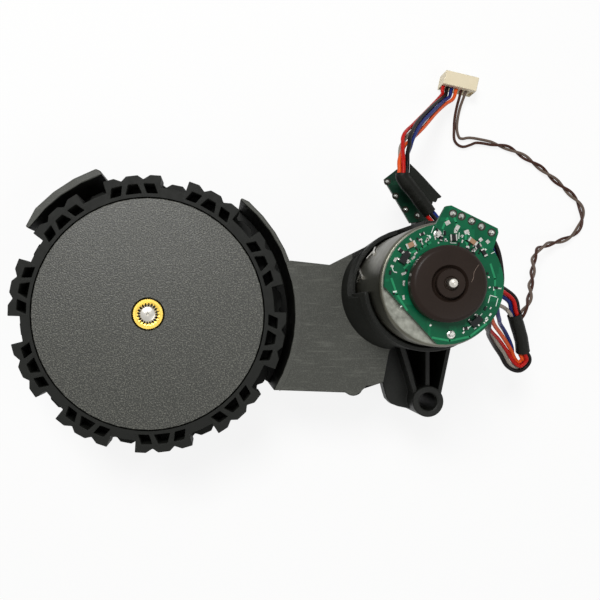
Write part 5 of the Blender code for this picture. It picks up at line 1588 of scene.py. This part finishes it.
@dataclass
class EncoderBoard:
    """Round green board with tracks, pads, small parts, solder joints and sensors.

    Attributes:
        track_width: Width of a track, in millimetres.
        film: Thickness of a print on the board.
        cone: Profile in mm of a wire's solder joint; its ring of rosin and painted shade, wire and terminal
            alike.
        lean: Offset of the wire's end in its joint.
        caps: Place and length of a tinned end as shares of its part's length, its width as a
            share of the part's, and how far it stands over the part.
        package: Length, width and height of a sensor.
        tracks: Points of each copper track, in millimetres from the motor's axis as all places here.
        pads: Place, size in millimetres and angle of each tinned pad; the legend's lines are alike.
        clutter_arcs: Directions between which tiny parts lie, and how many.
        clutter_ring: Distances from the axis between which they lie, in millimetres.
        sensors: CAD node, place and angle of each Hall sensor.
        leads: For each lead of a sensor, its place along the package and its side.
        lead_bends: For each upright part of a lead, its distance from the sensor's middle line,
            its size and its height.
    """

    face: float = 58.6 * MM
    track_width: float = 0.45
    film: float = 0.03 * MM
    edge: float = 0.07 * MM
    rim_edge: float = 0.06 * MM
    cone: Sequence[Plan] = (ON_AXIS, (0.714, 0.0), (0.595, 0.125), (0.425, 0.35), (0.25, 0.5), (0.0, 0.5))
    flux_and_shade: Sequence[Plan] = (ON_AXIS, (0.952, 0.0), (0.8925, 0.07), (0.0, 0.07))
    wire: Sequence[Plan] = (ON_AXIS, (0.26, 0.0), (0.26, 0.75), (0.12, 0.85), (0.0, 0.85))
    lean: Plan = (0.12, -0.1)
    terminal: Sequence[Plan] = (ON_AXIS, (0.95, 0.0), (0.8, 0.12), (0.5, 0.2), (0.0, 0.2))
    caps: tuple[float, float, float, float] = (0.46, 0.24, 1.12, 0.04)
    package: Point = (2.7, 1.4, 1.0)
    tracks: Sequence[Sequence[Plan]] = (
        ((-7.25, 6.87), (-5.48, 7.53), (-3.71, 8.64), (-3.05, 9.08)),
        ((-0.40, 12.18), (0.27, 13.72), (0.71, 14.39)),
        ((-8.80, 3.55), (-7.69, 4.66), (-6.81, 5.32)),
        ((4.69, 11.51), (4.69, 9.52), (5.13, 8.42)),
        ((8.0, 9.96), (7.34, 8.42), (9.11, 7.53)),
        ((-11.6, 1.2), (-10.4, -2.2), (-8.2, -5.6)),
        ((1.9, 15.2), (2.6, 13.4), (2.7, 12.4)),
        ((-2.6, -11.6), (1.2, -12.3), (5.6, -11.4), (9.2, -8.6)),
        ((10.2, 4.4), (11.2, 1.2), (11.2, -2.4)),
    )
    pads: Sequence[tuple[Plan, Plan, float]] = (
        ((0.71, 13.39), (1.1, 0.9), 30), ((2.81, 12.29), (1.3, 0.9), 60), ((2.45, 11.5), (0.7, 0.7), 0),
        ((4.91, 11.40), (1.1, 0.9), 20), ((8.0, 9.74), (0.8, 0.8), 40), ((9.55, 9.30), (0.8, 0.8), 40),
        ((5.13, 8.09), (0.7, 0.6), 0), ((6.46, 7.31), (0.9, 0.6), 40), ((-6.81, 5.76), (1.0, 0.5), 40),
        ((-10.79, 5.32), (0.9, 0.6), 60), ((-7.9, 4.88), (0.9, 0.5), 40), ((-8.9, 2.34), (1.1, 0.55), 20),
        ((-8.91, 0.24), (0.5, 1.2), 0), ((-8.95, -2.86), (0.5, 1.0), 10), ((-5.26, 9.63), (0.8, 0.5), 25),
        ((-3.94, 9.52), (0.9, 0.4), 60), ((9.77, 1.56), (0.4, 0.4), 0), ((9.99, -0.65), (0.5, 0.3), 30),
        ((-3.05, -8.9), (0.5, 0.4), 30), ((4.25, -10.49), (0.6, 0.3), 40), ((9.33, -7.83), (0.8, 0.4), 45),
        ((10.2, -5.2), (0.5, 0.3), 60),
    )
    components: Sequence[Component] = (
        Component((-7.47, 8.53), (1.9, 1.1, 0.55), 25.0, 1),
        Component((-5.0, 10.9), (1.0, 0.55, 0.4), 20.0, 0),
        Component((-0.75, 10.0), (1.0, 0.55, 0.45), 80.0, 0),
        Component((1.81, 10.1), (1.3, 1.3, 0.8), 4.0, 0),
        Component((6.1, 9.3), (1.9, 1.0, 0.6), -35.0, 1),
        Component((7.3, 8.2), (1.3, 0.7, 0.5), 30.0, 0),
        Component((8.6, 6.9), (1.6, 0.8, 0.5), -60.0, 0),
        Component((-9.6, 7.3), (1.2, 0.7, 0.45), -40.0, 0),
        Component((4.6, -9.6), (1.1, 0.6, 0.4), 10.0, 0),
    )
    legend: Sequence[tuple[Plan, Plan, float]] = (
        ((-2.6, 11.9), (1.6, 0.16), 70), ((-3.4, 10.5), (1.0, 0.16), -20), ((-0.2, 11.3), (0.9, 0.16), 80),
        ((3.2, 10.6), (1.4, 0.16), 85), ((2.0, 9.0), (1.3, 0.16), 0), ((10.7, 6.9), (0.9, 0.16), 25),
        ((-11.4, 3.4), (0.16, 1.4), 20), ((9.9, -3.2), (1.8, 0.18), 75), ((11.6, -3.9), (1.8, 0.18), 75),
        ((10.9, -2.6), (0.16, 1.5), 75), ((5.6, -9.3), (1.8, 0.16), 42), ((7.7, -7.0), (1.8, 0.16), 42),
    )
    joints: Sequence[Plan] = ((10.4, 11.3), (8.2, 12.6), (6.0, 13.8), (3.8, 14.8), (1.9, 15.4))
    clutter_seed: int = 11
    clutter_arcs: Sequence[tuple[float, float, int]] = (
        (118.0, 168.0, 16), (78.0, 112.0, 14), (32.0, 72.0, 20), (-62.0, -28.0, 12), (-172.0, -150.0, 3),
        (-12.0, 24.0, 4),
    )
    clutter_ring: Plan = (8.9, 12.2)
    clutter_lengths: Plan = (0.35, 0.95)
    clutter_widths: Plan = (0.25, 0.5)
    clutter_heights: Plan = (0.2, 0.45)
    sensors: Sequence[tuple[str, Plan, float]] = (
        ("hall_sensor_1", (-8.9, 5.77), 57.0), ("hall_sensor_2", (6.86, -8.08), 40.0),
    )
    leads: Sequence[tuple[float, int]] = ((-0.9, 1), (0.9, 1), (0.0, -1))
    lead_bends: Sequence[tuple[float, Plan, float]] = ((0.95, (0.42, 0.75), 0.18), (0.72, (0.42, 0.16), 0.55))

    def add_chip(self, work: Work, place: Plan, size: Plan, turn: float, height: float, index: int) -> None:
        """Add one small box on the board, its sizes in millimetres and its height in metres."""
        box = turned_box(by_motor(place, 0.0).xy, size[0] * MM, size[1] * MM, turn)
        add_prism(work, box, self.face - self.film, self.face + height, index, min(self.edge, height / 3))

    def add_artwork(self) -> None:
        """Add the copper tracks under lacquer, the tinned pads and the plain legend lines."""
        work = bmesh.new()
        for track in self.tracks:
            for first, second in zip(track, track[1:]):
                run = Vector(second) - Vector(first)
                middle = (Vector(first) + Vector(second)) / 2
                turn = math.degrees(math.atan2(run.y, run.x))
                self.add_chip(work, middle, (run.length + 0.3, self.track_width), turn, self.film, 0)
        for place, size, turn in self.pads:
            self.add_chip(work, place, size, turn, 2 * self.film, 1)
        for place, size, turn in self.legend:
            self.add_chip(work, place, size, turn, 1.5 * self.film, 2)
        add_piece("board_artwork", work, (TRACK_GREEN, SOLDER, LEGEND_INK), "gearbox")

    def add_components(self) -> None:
        """Add the resistors, capacitors and transistor, with their tinned ends."""
        work = bmesh.new()
        out, along, wide, rise = self.caps
        for part in self.components:
            length, width, height = part.size
            self.add_chip(work, part.place, (length, width), part.turn, height * MM, part.finish)
            for side in (-1, 1):
                end = Vector(part.place) + heading(part.turn).xy * side * length * out
                self.add_chip(work, end, (length * along, width * wide), part.turn, (height + rise) * MM, 2)
        add_piece("board_components", work, (CHIP_EPOXY, CAPACITOR_CERAMIC, SOLDER), "gearbox")

    def add_clutter(self) -> None:
        """Add the many tiny pads and parts that crowd the board round the magnet."""
        pick = random.Random(self.clutter_seed)
        work = bmesh.new()
        for first, last, count in self.clutter_arcs:
            for _ in range(count):
                turn = pick.uniform(first, last)
                place = heading(turn).xy * pick.uniform(*self.clutter_ring)
                size = (pick.uniform(*self.clutter_lengths), pick.uniform(*self.clutter_widths))
                finish = pick.choice((0, 0, 1, 1, 2))
                height = self.film * 2 if finish != 1 else pick.uniform(*self.clutter_heights) * MM
                self.add_chip(work, place, size, turn + pick.choice((0.0, 90.0)), height, finish)
        add_piece("board_small_parts", work, (SOLDER, CHIP_EPOXY, LEGEND_INK), "gearbox")

    def add_joints(self) -> None:
        """Add the wires' solder joints: a wetted cone with the wire's cut end in it, ringed with rosin and
        painted shade.
        """
        work = bmesh.new()
        low = self.face - self.film
        for number, place in enumerate(self.joints):
            add_turned(work, by_motor(place, low), beside(ON_AXIS, self.cone), 18)
            # Dark ring round each joint's foot: rosin residue and painted shade
            add_turned(work, by_motor(place, low), beside(ON_AXIS, self.flux_and_shade), 18, index=1)
            end = (place[0] + self.lean[0] * (-1) ** number, place[1] + self.lean[1])
            add_turned(work, by_motor(end, self.face), beside(ON_AXIS, self.wire), 10)
        for node in ("motor_terminal_1", "motor_terminal_2"):
            corner, opposite = box_corners(node)
            middle = (corner + opposite) / 2
            add_turned(work, Vector((middle.x, middle.y, low)), beside(ON_AXIS, self.terminal), 20)
        add_piece("board_solder_joints", work, (SOLDER, FLUX_AND_JOINT_SHADE), "gearbox")

    def add_sensors(self) -> None:
        """Add the Hall sensors: a small black package on three bent leads."""
        for node, place, turn in self.sensors:
            work = bmesh.new()
            along, side = heading(turn).xy, heading(turn + 90.0).xy
            self.add_chip(work, place, self.package[:2], turn, self.package[2] * MM, 0)
            for step, way in self.leads:
                root = Vector(place) + along * step
                for out, size, height in self.lead_bends:
                    self.add_chip(work, root + side * way * out, size, turn, height * MM, 1)
            add_piece(f"{node}_package", work, (CHIP_EPOXY, SOLDER), "gearbox", node)

    def build(self) -> None:
        """Add the board and all that it carries."""
        softened("encoder_board", BOARD_GREEN, self.rim_edge)
        self.add_artwork()
        self.add_clutter()
        self.add_components()
        self.add_joints()
        self.add_sensors()
        paint(SOLDER, "motor_terminal_1", "motor_terminal_2")


@dataclass
class DropSwitch:
    """Switch that tells when the wheel drops, under its own small board.

    Attributes:
        joints: Places of the solder joints, in millimetres from the motor's axis.
        dome: Profile of a joint, in millimetres; that of its dark ring of rosin and painted shade is alike.
    """

    face: float = 23.1 * MM
    sunk: float = 0.02 * MM
    board_edge: float = 0.06 * MM
    body_edge: float = 0.2 * MM
    joints: Sequence[Plan] = ((-3.8, 28.9), (-1.6, 25.1), (1.1, 21.5), (4.3, 19.9))
    dome: Sequence[Plan] = ((0.0, 0.0), (0.62, 0.0), (0.465, 0.3), (0.2, 0.55), (0.0, 0.6))
    stain_and_shade: Sequence[Plan] = ((0.0, 0.0), (0.95, 0.0), (0.9, 0.05), (0.0, 0.05))

    def add_joints(self) -> None:
        """Add the four solder joints along the board's edge, each in a round dark ring of rosin and painted
        shade.
        """
        work = bmesh.new()
        for place in self.joints:
            spot = by_motor(place, self.face - self.sunk)
            add_turned(work, spot, beside(ON_AXIS, self.dome), 16)
            # Dark ring round each joint: rosin residue and painted shade
            add_turned(work, spot, beside(ON_AXIS, self.stain_and_shade), 16, index=1)
        add_piece("switch_solder_joints", work, (SOLDER, FLUX_AND_JOINT_SHADE), "gearbox")

    def build(self) -> None:
        """Add the switch's board, joints and body."""
        softened("switch_board", SWITCH_GREEN, self.board_edge)
        softened("drop_switch", CHIP_EPOXY, self.body_edge)
        self.add_joints()


def main() -> None:
    """Build the studio and then each sub-assembly."""
    logging.basicConfig(level=logging.INFO, format="%(message)s")
    Studio().build()
    Gearbox().build()
    Wheel().build()
    Motor().build()
    EncoderBoard().build()
    DropSwitch().build()
    Harness().build()


if __name__ == "__main__":
    main()
